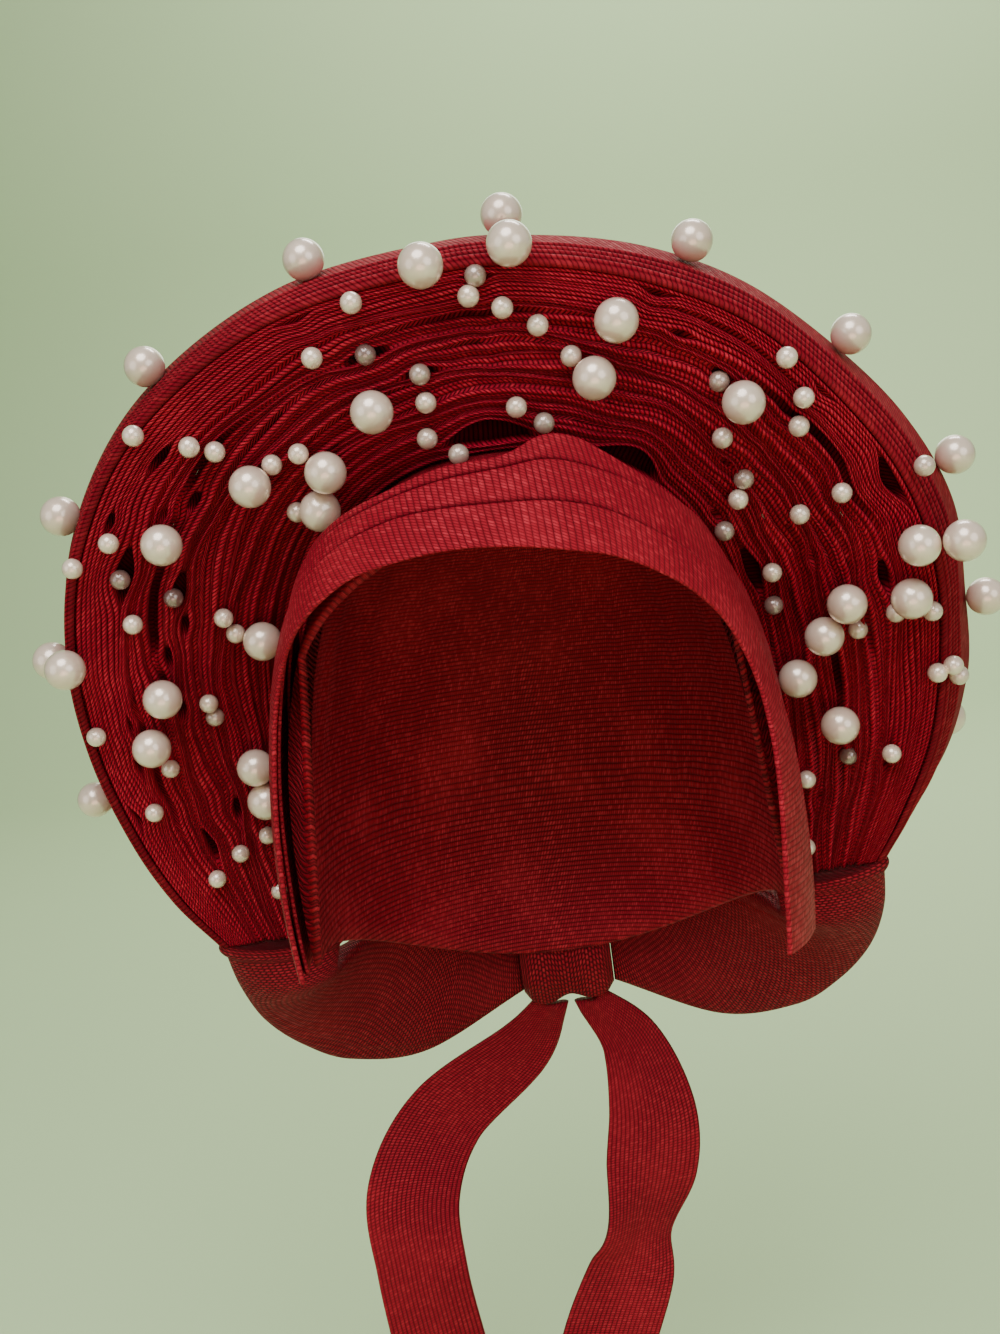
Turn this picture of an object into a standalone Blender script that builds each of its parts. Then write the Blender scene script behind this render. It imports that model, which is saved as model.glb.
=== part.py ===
"""Tied gele head tie: pleated fan over a folded brow band, with pearls.

Metres, +Z up, front towards -Y. The origin is the middle of the head opening at ear level.
The fan leans forward in a plane of its own: p runs to the right, q up the fan, n back from it.
"""
import math

import bmesh
import bpy
import numpy as np
from mathutils import Vector
from mathutils.bvhtree import BVHTree

GAP = 0.0003
SEATED = 0.00002

# Head opening and the cloth over the crown
HEAD_HALF_WIDTH = 0.0745
HEAD_HALF_LENGTH = 0.0875
HEAD_HEIGHT = 0.118
HEAD_ROUNDNESS = 2.25
CAP_WALL = 0.002
CAP_COLUMNS = 24
CAP_ROWS = 7
CAP_FRONT_RISE = 0.096
CAP_SIDE_DROP = 0.028
CAP_NAPE_DROP = 0.062
CAP_FRONT_ANGLE = 75.0

# Brow band
TIER_WALL = 0.0015
TIER_OVERLAP = 0.14
BROW_APEX = 0.146

# Fan
FAN_LEAN = 22.3
FAN_FOOT_BACK = 0.0308
FAN_FOOT_DROP = 0.0333
FAN_HALF_WIDTH = 0.136
FAN_HEIGHT = 0.213
SEAT_LIFT = 0.011
PLEAT_DEPTH = 0.008
PLEAT_RELIEF = 0.0026
INNER_PLEATS = 11
MIDDLE_PLEATS = 9
OUTER_PLEATS = 9
SECTIONS = 32
STRIP_DEPTH = 0.040
STRIP_WALL = 0.002

# Nape knot, wraps below the ears and the two ties
KNOT_HALF_WIDTH = 0.017
KNOT_HALF_DEPTH = 0.013
KNOT_HALF_HEIGHT = 0.019
KNOT_DROP = 0.066
KNOT_WAIST = 0.86
KNOT_SHOULDER = 0.72
KNOT_SIDES = 14
WRAP_MOUTH_THICKNESS = 0.015
WRAP_MOUTH_MARGIN = 0.0035
WRAP_END_WIDTH = 0.026
WRAP_WIDTH = 0.052
WRAP_SIDES = 12
TIE_WIDTH = 0.035
TIE_WALL = 0.0015
TIE_DROP = 0.165

# Pearls
PEARL_RADIUS = 0.006
PEARL_SIDES = 10
PEARL_RINGS = 6
FAN_MIDDLE = 0.42

# One row a station, from the left gather over the top to the right gather.
# low and top: the band's two edges, as an angle round the head and a share of HEAD_HEIGHT.
# fold_1 and fold_2: where one tier of the band gives way to the next, as shares of its width.
# seat: where the innermost pleat meets the head, as an angle round it, an elevation and a lift
# as a share of SEAT_LIFT.
# rim: the outermost pleat, as shares of FAN_HALF_WIDTH, FAN_HEIGHT and PLEAT_DEPTH.
# flare and reach: how far the outer strip leans out, and its depth as a share of STRIP_DEPTH.
STATION_COLUMNS = (
    "low_angle low_height top_angle top_height fold_1 fold_2 "
    "seat_angle seat_elevation seat_lift rim_p rim_q rim_n flare reach"
).split()
STATIONS = (
    (-70, -0.25, -104, -0.26, 0.35, 0.70, -112, -14, 1.000, -0.810, 0.000, 0.00, 20, 0.30),
    (-69, -0.02, -104, 0.00, 0.35, 0.70, -112, -4, 0.364, -0.890, 0.095, 0.00, 26, 0.70),
    (-68, 0.24, -104, 0.27, 0.35, 0.70, -109, 6, 0.055, -0.950, 0.215, 0.00, 21, 1.00),
    (-66, 0.46, -94, 0.52, 0.38, 0.72, -102, 22, 0.055, -0.985, 0.370, 0.00, 17, 1.00),
    (-58, 0.60, -76, 0.76, 0.42, 0.80, -94, 38, 0.055, -0.970, 0.530, 0.00, 14, 1.00),
    (-38, 0.71, -55, 0.85, 0.50, 0.84, -84, 53, 0.055, -0.886, 0.690, 0.00, 11, 1.00),
    (-21, 0.745, -31, 0.905, 0.56, 0.86, -66, 66, 0.055, -0.708, 0.840, 0.00, 5, 1.00),
    (-7, 0.755, -13, 0.940, 0.50, 0.84, -38, 73, 0.055, -0.404, 0.955, 0.00, 0, 1.00),
    (4, 0.743, 3, 0.950, 0.48, 0.86, -4, 75, 0.055, -0.059, 0.990, 0.00, -2, 1.00),
    (14, 0.722, 16, 0.985, 0.41, 0.78, 24, 74, 0.055, 0.147, 0.981, 0.00, -2, 1.00),
    (23, 0.700, 28, 0.970, 0.38, 0.74, 46, 70, 0.055, 0.353, 0.943, 0.00, 1, 1.00),
    (33, 0.655, 42, 0.893, 0.38, 0.80, 64, 62, 0.055, 0.551, 0.873, 0.00, 4, 1.00),
    (43, 0.590, 55, 0.815, 0.37, 0.82, 79, 51, 0.055, 0.715, 0.766, -0.20, 9, 1.00),
    (51, 0.500, 67, 0.735, 0.31, 0.81, 91, 38, 0.055, 0.840, 0.648, -0.40, 15, 1.00),
    (56, 0.364, 82, 0.545, 0.28, 0.78, 101, 24, 0.055, 0.908, 0.516, -0.60, 22, 1.00),
    (56, 0.229, 96, 0.320, 0.28, 0.74, 107, 11, 0.055, 0.922, 0.376, -0.60, 25, 1.00),
    (54, 0.085, 100, 0.100, 0.30, 0.70, 110, 1, 0.273, 0.902, 0.235, -0.60, 30, 1.00),
    (52, -0.085, 104, -0.10, 0.33, 0.70, 112, -7, 0.545, 0.840, 0.103, -0.30, 34, 0.70),
    (52, -0.25, 104, -0.27, 0.35, 0.70, 112, -14, 1.000, 0.785, 0.014, 0.00, 20, 0.30),
)

# One row a section of a wrap, after its mouth and down to the knot, for the right-hand side:
# its outer edge (x, y, z) and its inner edge (x, y, z) from the mouth's middle, as shares of
# WRAP_WIDTH, and its thickness as a share of WRAP_MOUTH_THICKNESS.
WRAP_ROWS = (
    (0.36, 0.12, -0.31, -0.33, 0.04, -0.27, 1.00),
    (0.29, 0.35, -0.65, -0.40, 0.25, -0.22, 0.95),
    (0.09, 0.56, -0.94, -0.58, 0.50, -0.15, 0.85),
    (-0.20, 0.77, -1.16, -0.86, 0.74, -0.14, 0.75),
    (-0.72, 1.00, -1.24, -1.22, 0.93, -0.18, 0.65),
)

# One row a section of a tie, from the knot's foot down: x and y as shares of TIE_WIDTH from the
# knot's middle, drop as a share of TIE_DROP, width and wall as shares, and a turn in degrees.
RIGHT_TIE = (
    (0.21, 0.00, 0.000, 0.36, 3.0, 0),
    (0.58, -0.14, 0.100, 0.66, 1.8, 0),
    (0.71, -0.36, 0.240, 0.92, 1.0, 0),
    (0.63, -0.46, 0.370, 0.98, 1.0, 6),
    (0.42, -0.48, 0.510, 0.78, 1.6, 24),
    (0.27, -0.48, 0.610, 0.94, 1.0, 6),
    (-0.07, -0.50, 0.770, 1.00, 1.0, 0),
    (-0.42, -0.50, 1.000, 1.00, 1.0, 0),
)
LEFT_TIE = (
    (-0.21, 0.00, 0.000, 0.36, 3.0, 0),
    (-0.62, 0.10, 0.110, 0.66, 1.8, 0),
    (-1.52, -0.06, 0.235, 0.88, 1.0, 0),
    (-1.94, -0.34, 0.380, 1.00, 1.0, 0),
    (-1.94, -0.50, 0.550, 1.00, 1.0, -6),
    (-1.84, -0.50, 0.760, 1.00, 1.0, 0),
    (-1.76, -0.50, 0.900, 1.00, 1.0, 0),
)

# Large pearls on the pleats: across and up as shares of FAN_HALF_WIDTH and FAN_HEIGHT.
PLEAT_PEARLS = (
    (0.093, 1.019), (-0.080, 1.009), (0.282, 0.909), (0.228, 0.838), (-0.224, 0.832), (0.521, 0.781),
    (0.865, 0.559), (-0.504, 0.751), (-0.344, 0.755), (-0.375, 0.698), (-0.714, 0.688), (-0.570, 0.502),
    (-0.982, 0.532), (-0.809, 0.449), (-0.860, 0.376), (-0.655, 0.297), (-0.647, 0.241), (0.728, 0.463),
    (0.682, 0.408), (0.625, 0.334), (0.853, 0.477), (0.709, 0.263),
)

# Large pearls on the outer strip: the same, and how far back as a share of STRIP_DEPTH.
STRIP_PEARLS = (
    (0.085, 1.023, 0.88), (-0.340, 1.006, 0.80), (-0.728, 0.894, 0.80), (0.474, 0.957, 0.80),
    (0.800, 0.802, 0.78), (1.018, 0.615, 0.66), (0.942, 0.563, -0.32), (-0.970, 0.713, 0.50),
    (-1.080, 0.498, 0.42), (-1.096, 0.231, 0.62), (1.086, 0.400, 0.50),
)

# Large pearls on the outer strip's back edge: across and up.
EDGE_PEARLS = ((1.009, 0.186),)


def smooth_rows(rows, count):
    """Catmull-Rom curve through the rows, read at count even steps."""
    data = np.array(rows, dtype=float)
    padded = np.vstack([2 * data[0] - data[1], data, 2 * data[-1] - data[-2]])
    place = np.linspace(0, len(data) - 1, count)
    left = np.minimum(place.astype(int), len(data) - 2)
    step = (place - left)[:, None]
    before, here, after, beyond = (padded[left + k] for k in range(4))
    return 0.5 * (
        2 * here
        + (after - before) * step
        + (2 * before - 5 * here + 4 * after - beyond) * step**2
        + (3 * here - before - 3 * after + beyond) * step**3
    )


def signed_power(value, power):
    return np.sign(value) * np.abs(value) ** power


def fan_axes():
    """Origin and the p, q and n directions of the fan's plane."""
    lean = math.radians(FAN_LEAN)
    origin = np.array([0.0, FAN_FOOT_BACK, -FAN_FOOT_DROP])
    across = np.array([1.0, 0.0, 0.0])
    up = np.array([0.0, -math.sin(lean), math.cos(lean)])
    back = np.array([0.0, math.cos(lean), math.sin(lean)])
    return origin, across, up, back


ORIGIN, ACROSS, UP, BACK = fan_axes()


def fan_point(p, q, n):
    """Point of the fan's frame in the object's frame, for whole arrays."""
    return ORIGIN + np.multiply.outer(p, ACROSS) + np.multiply.outer(q, UP) + np.multiply.outer(n, BACK)


def head_point(angle, elevation, lift):
    """Point on the superellipsoid of the head, lifted off it; angles in degrees, 0 at the front."""
    share = 2 / HEAD_ROUNDNESS
    turn = np.radians(angle)
    rise = np.radians(elevation)
    ring = signed_power(np.cos(rise), share)
    return np.stack([
        (HEAD_HALF_WIDTH + lift) * ring * signed_power(np.sin(turn), share),
        -(HEAD_HALF_LENGTH + lift) * ring * signed_power(np.cos(turn), share),
        (HEAD_HEIGHT + lift) * signed_power(np.sin(rise), share),
    ], axis=-1)


def brow_point(angle, height, lift):
    """Point on the upright form that the brow band follows."""
    share = 2 / HEAD_ROUNDNESS
    turn = np.radians(angle)
    ring = np.sqrt(1 - (height / BROW_APEX) ** 2)
    return np.stack([
        (HEAD_HALF_WIDTH + lift) * ring * signed_power(np.sin(turn), share),
        -(HEAD_HALF_LENGTH + lift) * ring * signed_power(np.cos(turn), share),
        height + 0 * ring,
    ], axis=-1)


def stations():
    """The station table read at SECTIONS places, as named columns."""
    return dict(zip(STATION_COLUMNS, smooth_rows(STATIONS, SECTIONS).T))


def seat_and_rim(table):
    """The innermost and the outermost pleat, as two rows of points."""
    seat = head_point(table["seat_angle"], table["seat_elevation"], table["seat_lift"] * SEAT_LIFT)
    across, up, back = (table[key] for key in ("rim_p", "rim_q", "rim_n"))
    rim = fan_point(across * FAN_HALF_WIDTH, up * FAN_HEIGHT, back * PLEAT_DEPTH)
    return seat, rim


def add_object(name, vertices, faces, colour, roughness, smooth=False):
    """One named object with its own material."""
    mesh = bpy.data.meshes.new(name)
    mesh.from_pydata([tuple(v) for v in vertices], [], faces)
    work = bmesh.new()
    work.from_mesh(mesh)
    bmesh.ops.triangulate(work, faces=work.faces[:])
    bmesh.ops.recalc_face_normals(work, faces=work.faces[:])
    work.to_mesh(mesh)
    work.free()
    material = bpy.data.materials.new(name)
    material.use_nodes = True
    shader = material.node_tree.nodes["Principled BSDF"]
    shader.inputs["Base Color"].default_value = (*colour, 1.0)
    shader.inputs["Roughness"].default_value = roughness
    mesh.materials.append(material)
    if smooth:
        mesh.shade_smooth()
    piece = bpy.data.objects.new(name, mesh)
    bpy.context.scene.collection.objects.link(piece)
    return piece


def loft(name, loops, colour, roughness, smooth=False):
    """Closed body through loops of equal length, capped at both ends."""
    rings, points = loops.shape[:2]
    vertices = loops.reshape(-1, 3)
    faces = []
    for ring in range(rings - 1):
        for point in range(points):
            following = (point + 1) % points
            faces.append((
                ring * points + point,
                ring * points + following,
                (ring + 1) * points + following,
                (ring + 1) * points + point,
            ))
    faces.append(tuple(range(points))[::-1])
    faces.append(tuple((rings - 1) * points + point for point in range(points)))
    return add_object(name, vertices, faces, colour, roughness, smooth)


CLOTH = (0.30, 0.012, 0.022)
CLOTH_DARK = (0.22, 0.008, 0.016)
PEARL_WHITE = (0.82, 0.76, 0.68)


def build_cap():
    """Hollow dome over the crown and the back of the head, open for the head and the face."""
    share = HEAD_ROUNDNESS / 2
    angles = (np.arange(CAP_COLUMNS) + 0.5) * 360 / CAP_COLUMNS
    away = np.minimum(angles, 360 - angles)
    front = CAP_FRONT_RISE * np.cos(np.radians(away) * 0.65)
    fall = 0.5 - 0.5 * np.cos(np.radians((away - CAP_FRONT_ANGLE) * 180 / (180 - CAP_FRONT_ANGLE)))
    side = -CAP_SIDE_DROP - (CAP_NAPE_DROP - CAP_SIDE_DROP) * fall
    edge = np.where(away < CAP_FRONT_ANGLE, front, side)
    foot = np.degrees(np.arcsin(signed_power(edge / HEAD_HEIGHT, share)))
    rise = np.arange(CAP_ROWS)[:, None] / CAP_ROWS
    elevation = foot + (90 - foot) * rise
    turns = np.broadcast_to(angles, elevation.shape)
    outer = head_point(turns, elevation, 0.0).reshape(-1, 3)
    inner = head_point(turns, elevation, -CAP_WALL).reshape(-1, 3)
    poles = head_point(np.zeros(2), np.full(2, 90.0), np.array([0.0, -CAP_WALL]))
    vertices = np.vstack([outer, inner, poles])
    count = len(outer)
    faces = []
    for column in range(CAP_COLUMNS):
        following = (column + 1) % CAP_COLUMNS
        for row in range(CAP_ROWS - 1):
            low, high = row * CAP_COLUMNS, (row + 1) * CAP_COLUMNS
            faces.append((low + column, low + following, high + following, high + column))
            faces.append(tuple(count + k for k in faces[-1][::-1]))
        top = (CAP_ROWS - 1) * CAP_COLUMNS
        faces.append((top + column, top + following, 2 * count))
        faces.append((count + top + following, count + top + column, 2 * count + 1))
        faces.append((following, column, count + column, count + following))
    return add_object("crown_cap", vertices, faces, CLOTH_DARK, 0.8)


def build_tier(name, table, layer, shares):
    """One folded tier of the brow band: a wall that follows the brow between two of its folds."""
    inner = GAP + layer * (TIER_WALL + GAP)
    outer = inner + TIER_WALL
    angle = table["low_angle"] + (table["top_angle"] - table["low_angle"]) * shares
    height = (table["low_height"] + (table["top_height"] - table["low_height"]) * shares) * HEAD_HEIGHT
    front = brow_point(angle, height, outer)
    rear = brow_point(angle, height, inner)
    loops = np.concatenate([front, rear[::-1]]).transpose(1, 0, 2)
    return loft(name, loops, CLOTH, 0.7)


def build_band(table):
    """The three tiers, each tucked behind the one below it."""
    first, second = table["fold_1"], table["fold_2"]
    tuck_1, tuck_2 = first - TIER_OVERLAP, second - TIER_OVERLAP
    none, whole = np.zeros(SECTIONS), np.ones(SECTIONS)
    upper = np.stack([tuck_2, second, (second + whole) / 2, whole])
    return [
        build_tier("brow_band_lower_tier", table, 2, np.stack([none, tuck_1 / 2, tuck_1, first])),
        build_tier("brow_band_middle_tier", table, 1, np.stack([tuck_1, first, tuck_2, second])),
        build_tier("brow_band_upper_tier", table, 0, upper),
    ]


def build_pleats(name, seat, rim, start, end, pleats):
    """A stack of pleats: a ridged front, with a crest and a trough to each pleat, and a plain back."""
    run = rim - seat
    span = np.linalg.norm(run, axis=1)
    low = start + GAP / 2 / span
    high = end - GAP / 2 / span
    steps = np.arange(2 * pleats + 1)
    share = low + np.multiply.outer(steps / steps[-1], high - low)
    relief = np.where(steps % 2 == 0, PLEAT_RELIEF, 0.0)
    front = seat + share[:, :, None] * run + relief[:, None, None] * BACK
    rear_share = low + np.multiply.outer(np.linspace(1, 0, 4), high - low)
    rear = seat + rear_share[:, :, None] * run + PLEAT_DEPTH * BACK
    return loft(name, np.concatenate([front, rear]).transpose(1, 0, 2), CLOTH_DARK, 0.8)


def build_strip(table, seat, rim):
    """The outermost layer of the fan: a wall from the last pleat back, leaning outwards."""
    outward = rim - seat
    outward /= np.linalg.norm(outward, axis=1)[:, None]
    flare = np.radians(table["flare"])[:, None]
    beside = BACK + np.tan(np.maximum(flare, 0)) * outward
    behind = np.cos(flare) * BACK + np.sin(flare) * outward
    inner = rim + outward * GAP
    bend = inner + beside * PLEAT_DEPTH
    end = bend + behind * (STRIP_DEPTH * table["reach"][:, None] - PLEAT_DEPTH)
    wall = outward * STRIP_WALL
    loops = np.stack([inner, inner + wall, bend + wall, end + wall, end, bend], axis=1)
    return loft("fan_outer_strip", loops, CLOTH, 0.7)


def knot_loops():
    """A pinched roll of cloth, as loops along X about its own middle."""
    turns = np.radians(np.arange(KNOT_SIDES) * 360 / KNOT_SIDES)
    profile = ((-1, KNOT_SHOULDER), (-0.8, 0.94), (-0.45, 1.0), (0, KNOT_WAIST), (0.45, 1.0), (0.8, 0.94),
               (1, KNOT_SHOULDER))
    return np.array([
        np.stack([
            np.full(KNOT_SIDES, along * KNOT_HALF_WIDTH),
            size * KNOT_HALF_DEPTH * np.cos(turns),
            size * KNOT_HALF_HEIGHT * np.sin(turns),
        ], axis=1) for along, size in profile
    ])


def tree_of(piece):
    corners = [vertex.co for vertex in piece.data.vertices]
    return BVHTree.FromPolygons(corners, [face.vertices[:] for face in piece.data.polygons])


def build_knot(cap):
    """The knot across the nape, moved up to one gap behind the crown's lower edge."""
    middle = np.array([0.0, HEAD_HALF_LENGTH + 2 * KNOT_HALF_DEPTH, -KNOT_DROP])
    knot = loft("nape_knot", knot_loops() + middle, CLOTH, 0.75, smooth=True)
    cap_tree = tree_of(cap)
    knot_tree = tree_of(knot)
    moved = 0.0
    for _ in range(60):
        shift = Vector((0.0, moved, 0.0))
        near = min(cap_tree.find_nearest(vertex.co - shift)[3] for vertex in knot.data.vertices)
        near = min(near, min(knot_tree.find_nearest(vertex.co + shift)[3] for vertex in cap.data.vertices))
        if near - GAP < SEATED:
            break
        moved += near - GAP
    for vertex in knot.data.vertices:
        vertex.co.y -= moved
    return middle - np.array([0.0, moved, 0.0])


def build_wrap(name, side, seat_end, rim_end, knot):
    """A smooth wound wrap from the gathered pleats' ends down and back to the knot."""
    mouth = (seat_end + rim_end) / 2
    wide = (rim_end - seat_end) / 2
    half = np.linalg.norm(wide)
    down = np.cross(BACK, wide / half) * side
    centre = mouth + BACK * PLEAT_DEPTH / 2 + down * GAP
    wide = wide * (1 + WRAP_MOUTH_MARGIN / half)
    rows = np.array(WRAP_ROWS)
    mirror = np.array([side, 1, 1])
    outer = centre + rows[:, 0:3] * WRAP_WIDTH * mirror
    inner = centre + rows[:, 3:6] * WRAP_WIDTH * mirror
    end = knot + np.array([side * (KNOT_HALF_WIDTH + GAP), 0, 0])
    rise = np.array([0, 0, WRAP_END_WIDTH / 2])
    outer = np.vstack([centre + wide, outer, end - rise])
    inner = np.vstack([centre - wide, inner, end + rise])
    thick = np.concatenate([[1.0], rows[:, 6], [0.6]])
    centres = (outer + inner) / 2
    wides = (outer - inner) / 2
    path = np.gradient(centres, axis=0)
    path[-1] = [-side, 0, 0]
    depth = np.cross(path, wides)
    depth /= np.linalg.norm(depth, axis=1)[:, None]
    depth[0] = BACK * np.sign(depth[0] @ BACK)
    table = np.hstack([centres, wides, depth * (thick * WRAP_MOUTH_THICKNESS / 2)[:, None]])
    middle = smooth_rows(table, 2 * len(table) - 1)
    turns = np.radians(np.arange(WRAP_SIDES) * 360 / WRAP_SIDES)
    loops = (
        middle[:, None, 0:3]
        + middle[:, None, 3:6] * np.cos(turns)[None, :, None]
        + middle[:, None, 6:9] * np.sin(turns)[None, :, None]
    )
    return loft(name, loops, CLOTH, 0.75, smooth=True)


def build_tie(name, rows, knot):
    """A flat tie that hangs from the knot's foot."""
    top = knot - np.array([0, 0, KNOT_HALF_HEIGHT + GAP])
    data = smooth_rows(rows, 2 * len(rows) - 1)
    x, y, drop, width, wall, turn = data.T
    centres = top + np.stack([x * TIE_WIDTH, y * TIE_WIDTH, -drop * TIE_DROP], axis=1)
    path = np.gradient(centres, axis=0)
    path[0] = [0, 0, -1]
    path /= np.linalg.norm(path, axis=1)[:, None]
    across = np.cross(path, [0.0, 1.0, 0.0])
    across /= np.linalg.norm(across, axis=1)[:, None]
    facing = np.cross(across, path)
    turn = np.radians(turn)[:, None]
    wide = (across * np.cos(turn) + facing * np.sin(turn)) * (width * TIE_WIDTH / 2)[:, None]
    thick = (facing * np.cos(turn) - across * np.sin(turn)) * (wall * TIE_WALL / 2)[:, None]
    loops = np.stack([
        centres - wide - thick, centres - thick, centres + wide - thick,
        centres + wide + thick, centres + thick, centres - wide + thick,
    ], axis=1)
    return loft(name, loops, CLOTH, 0.75)


def seat_pearl(start, direction, seats, others):
    """Slide a pearl along a direction until its skin is one gap from its seats, then back out
    until it is clear of the others as well."""
    reach = PEARL_RADIUS + GAP
    place = Vector(start)
    slide = Vector(direction).normalized()
    for _ in range(400):
        room = min(tree.find_nearest(place)[3] for tree in seats) - reach
        if room < SEATED:
            break
        place = place + slide * max(room, SEATED)
    for _ in range(400):
        room = min(tree.find_nearest(place)[3] for tree in seats + others) - reach
        if room >= 0:
            break
        place = place - slide * max(-room, SEATED)
    return place


def pearl_routes():
    """Where each large pearl starts and which way it slides to its seat."""
    routes = []
    for across, up in PLEAT_PEARLS:
        routes.append((fan_point(across * FAN_HALF_WIDTH, up * FAN_HEIGHT, -FAN_HALF_WIDTH / 2), BACK))
    for across, up, depth in STRIP_PEARLS:
        place = fan_point(across * FAN_HALF_WIDTH, up * FAN_HEIGHT, depth * STRIP_DEPTH)
        middle = fan_point(0.0, FAN_MIDDLE * FAN_HEIGHT, depth * STRIP_DEPTH)
        outward = (place - middle) / np.linalg.norm(place - middle)
        routes.append((place + outward * FAN_HALF_WIDTH / 3, -outward))
    for across, up in EDGE_PEARLS:
        routes.append((fan_point(across * FAN_HALF_WIDTH, up * FAN_HEIGHT, 2 * STRIP_DEPTH), -BACK))
    return routes


def build_pearls(fan, cloth):
    """The large pearls, slid on to the fan's pleats or its strip, clear of the rest of the cloth."""
    seats = [tree_of(piece) for piece in fan]
    others = [tree_of(piece) for piece in cloth]
    for number, (start, direction) in enumerate(pearl_routes(), start=1):
        place = seat_pearl(start, direction, seats, others)
        work = bmesh.new()
        bmesh.ops.create_uvsphere(work, u_segments=PEARL_SIDES, v_segments=PEARL_RINGS, radius=PEARL_RADIUS)
        vertices = [vertex.co + place for vertex in work.verts]
        faces = [[vertex.index for vertex in face.verts] for face in work.faces]
        work.free()
        add_object(f"pearl_{number:02d}", vertices, faces, PEARL_WHITE, 0.15, smooth=True)
        seats.append(BVHTree.FromPolygons(vertices, faces))


def main():
    for old in list(bpy.data.objects):
        bpy.data.objects.remove(old)
    table = stations()
    seat, rim = seat_and_rim(table)
    total = INNER_PLEATS + MIDDLE_PLEATS + OUTER_PLEATS
    inner_end = INNER_PLEATS / total
    middle_end = (INNER_PLEATS + MIDDLE_PLEATS) / total
    cap = build_cap()
    band = build_band(table)
    fan = [
        build_pleats("inner_pleats", seat, rim, 0.0, inner_end, INNER_PLEATS),
        build_pleats("middle_pleats", seat, rim, inner_end, middle_end, MIDDLE_PLEATS),
        build_pleats("outer_pleats", seat, rim, middle_end, 1.0, OUTER_PLEATS),
        build_strip(table, seat, rim),
    ]
    knot = build_knot(cap)
    build_wrap("left_wrap", -1, seat[0], rim[0], knot)
    build_wrap("right_wrap", 1, seat[-1], rim[-1], knot)
    build_tie("left_tie", LEFT_TIE, knot)
    build_tie("right_tie", RIGHT_TIE, knot)
    build_pearls(fan, [cap, *band])


main()
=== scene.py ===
"""Tied gele head tie: a pleated fan over a folded brow band, set with pearls.

Metres, +Z up, front towards -Y. The fan leans forward in a plane of its own: p runs to the right,
q up the fan and n back from it.
"""
import math

import bpy
import numpy as np
from mathutils import Matrix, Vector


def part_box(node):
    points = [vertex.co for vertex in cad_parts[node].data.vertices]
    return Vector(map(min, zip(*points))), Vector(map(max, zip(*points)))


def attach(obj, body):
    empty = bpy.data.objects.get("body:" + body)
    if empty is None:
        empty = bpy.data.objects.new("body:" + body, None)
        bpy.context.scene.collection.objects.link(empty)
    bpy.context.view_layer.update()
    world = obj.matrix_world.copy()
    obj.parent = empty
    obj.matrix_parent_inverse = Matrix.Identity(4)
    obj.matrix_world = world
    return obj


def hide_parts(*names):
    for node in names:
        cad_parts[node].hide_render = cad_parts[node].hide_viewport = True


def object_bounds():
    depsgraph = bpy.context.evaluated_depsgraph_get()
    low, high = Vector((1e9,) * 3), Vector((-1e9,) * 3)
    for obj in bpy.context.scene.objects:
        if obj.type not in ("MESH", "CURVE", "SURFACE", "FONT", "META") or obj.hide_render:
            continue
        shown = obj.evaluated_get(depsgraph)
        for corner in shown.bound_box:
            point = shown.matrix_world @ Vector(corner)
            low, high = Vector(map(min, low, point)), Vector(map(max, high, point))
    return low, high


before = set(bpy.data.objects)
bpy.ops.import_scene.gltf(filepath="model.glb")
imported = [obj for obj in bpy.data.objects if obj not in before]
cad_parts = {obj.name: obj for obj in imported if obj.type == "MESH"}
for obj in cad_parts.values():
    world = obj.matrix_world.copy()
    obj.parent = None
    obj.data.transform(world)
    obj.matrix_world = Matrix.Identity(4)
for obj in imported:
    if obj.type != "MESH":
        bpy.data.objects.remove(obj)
cad_low, cad_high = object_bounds()

GAP = 0.0003

# Head opening and the cloth over the crown
HEAD_HALF_WIDTH = 0.0745
HEAD_HALF_LENGTH = 0.0875
HEAD_HEIGHT = 0.118
HEAD_ROUNDNESS = 2.25
CAP_WALL = 0.002
CAP_FRONT_RISE = 0.096
CAP_SIDE_DROP = 0.028
CAP_NAPE_DROP = 0.062
CAP_FRONT_ANGLE = 75.0
CAP_FRONT_FALL = 0.65
CROWN_COLUMNS = 144
CROWN_ROWS = 40
CROWN_TOP = 0.995
CROWN_CREASE = 0.0007
CROWN_CREASES = 9
CREASE_POWER = 12
CREASE_BEND = 1.3
CREASE_BEND_DEGREES = 23

# Brow band
TIER_WALL = 0.0015
TIER_OVERLAP = 0.14
TIER_ROWS = 30
TIER_SWELL = 0.2
TIER_WAVE = 0.10
TIER_WEAVE_SHIFT = 0.0004
BROW_APEX = 0.146
LIP_RISE = 0.0004
LIP_REACH = 0.0018
COVER_SHADE = 0.0010
EDGE_ROWS = 5

# The slow waves of a tier, one row each: length and shift from tier to tier.
TIER_WAVES = ((0.013, 2.1), (0.031, 1.0))

# Fan
FAN_LEAN = 22.3
FAN_FOOT_BACK = 0.0308
FAN_FOOT_DROP = 0.0333
FAN_HALF_WIDTH = 0.136
FAN_HEIGHT = 0.213
SEAT_LIFT = 0.011
PLEAT_DEPTH = 0.008
INNER_PLEATS = 11
MIDDLE_PLEATS = 9
OUTER_PLEATS = 9
PLEATS = INNER_PLEATS + MIDDLE_PLEATS + OUTER_PLEATS

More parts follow.
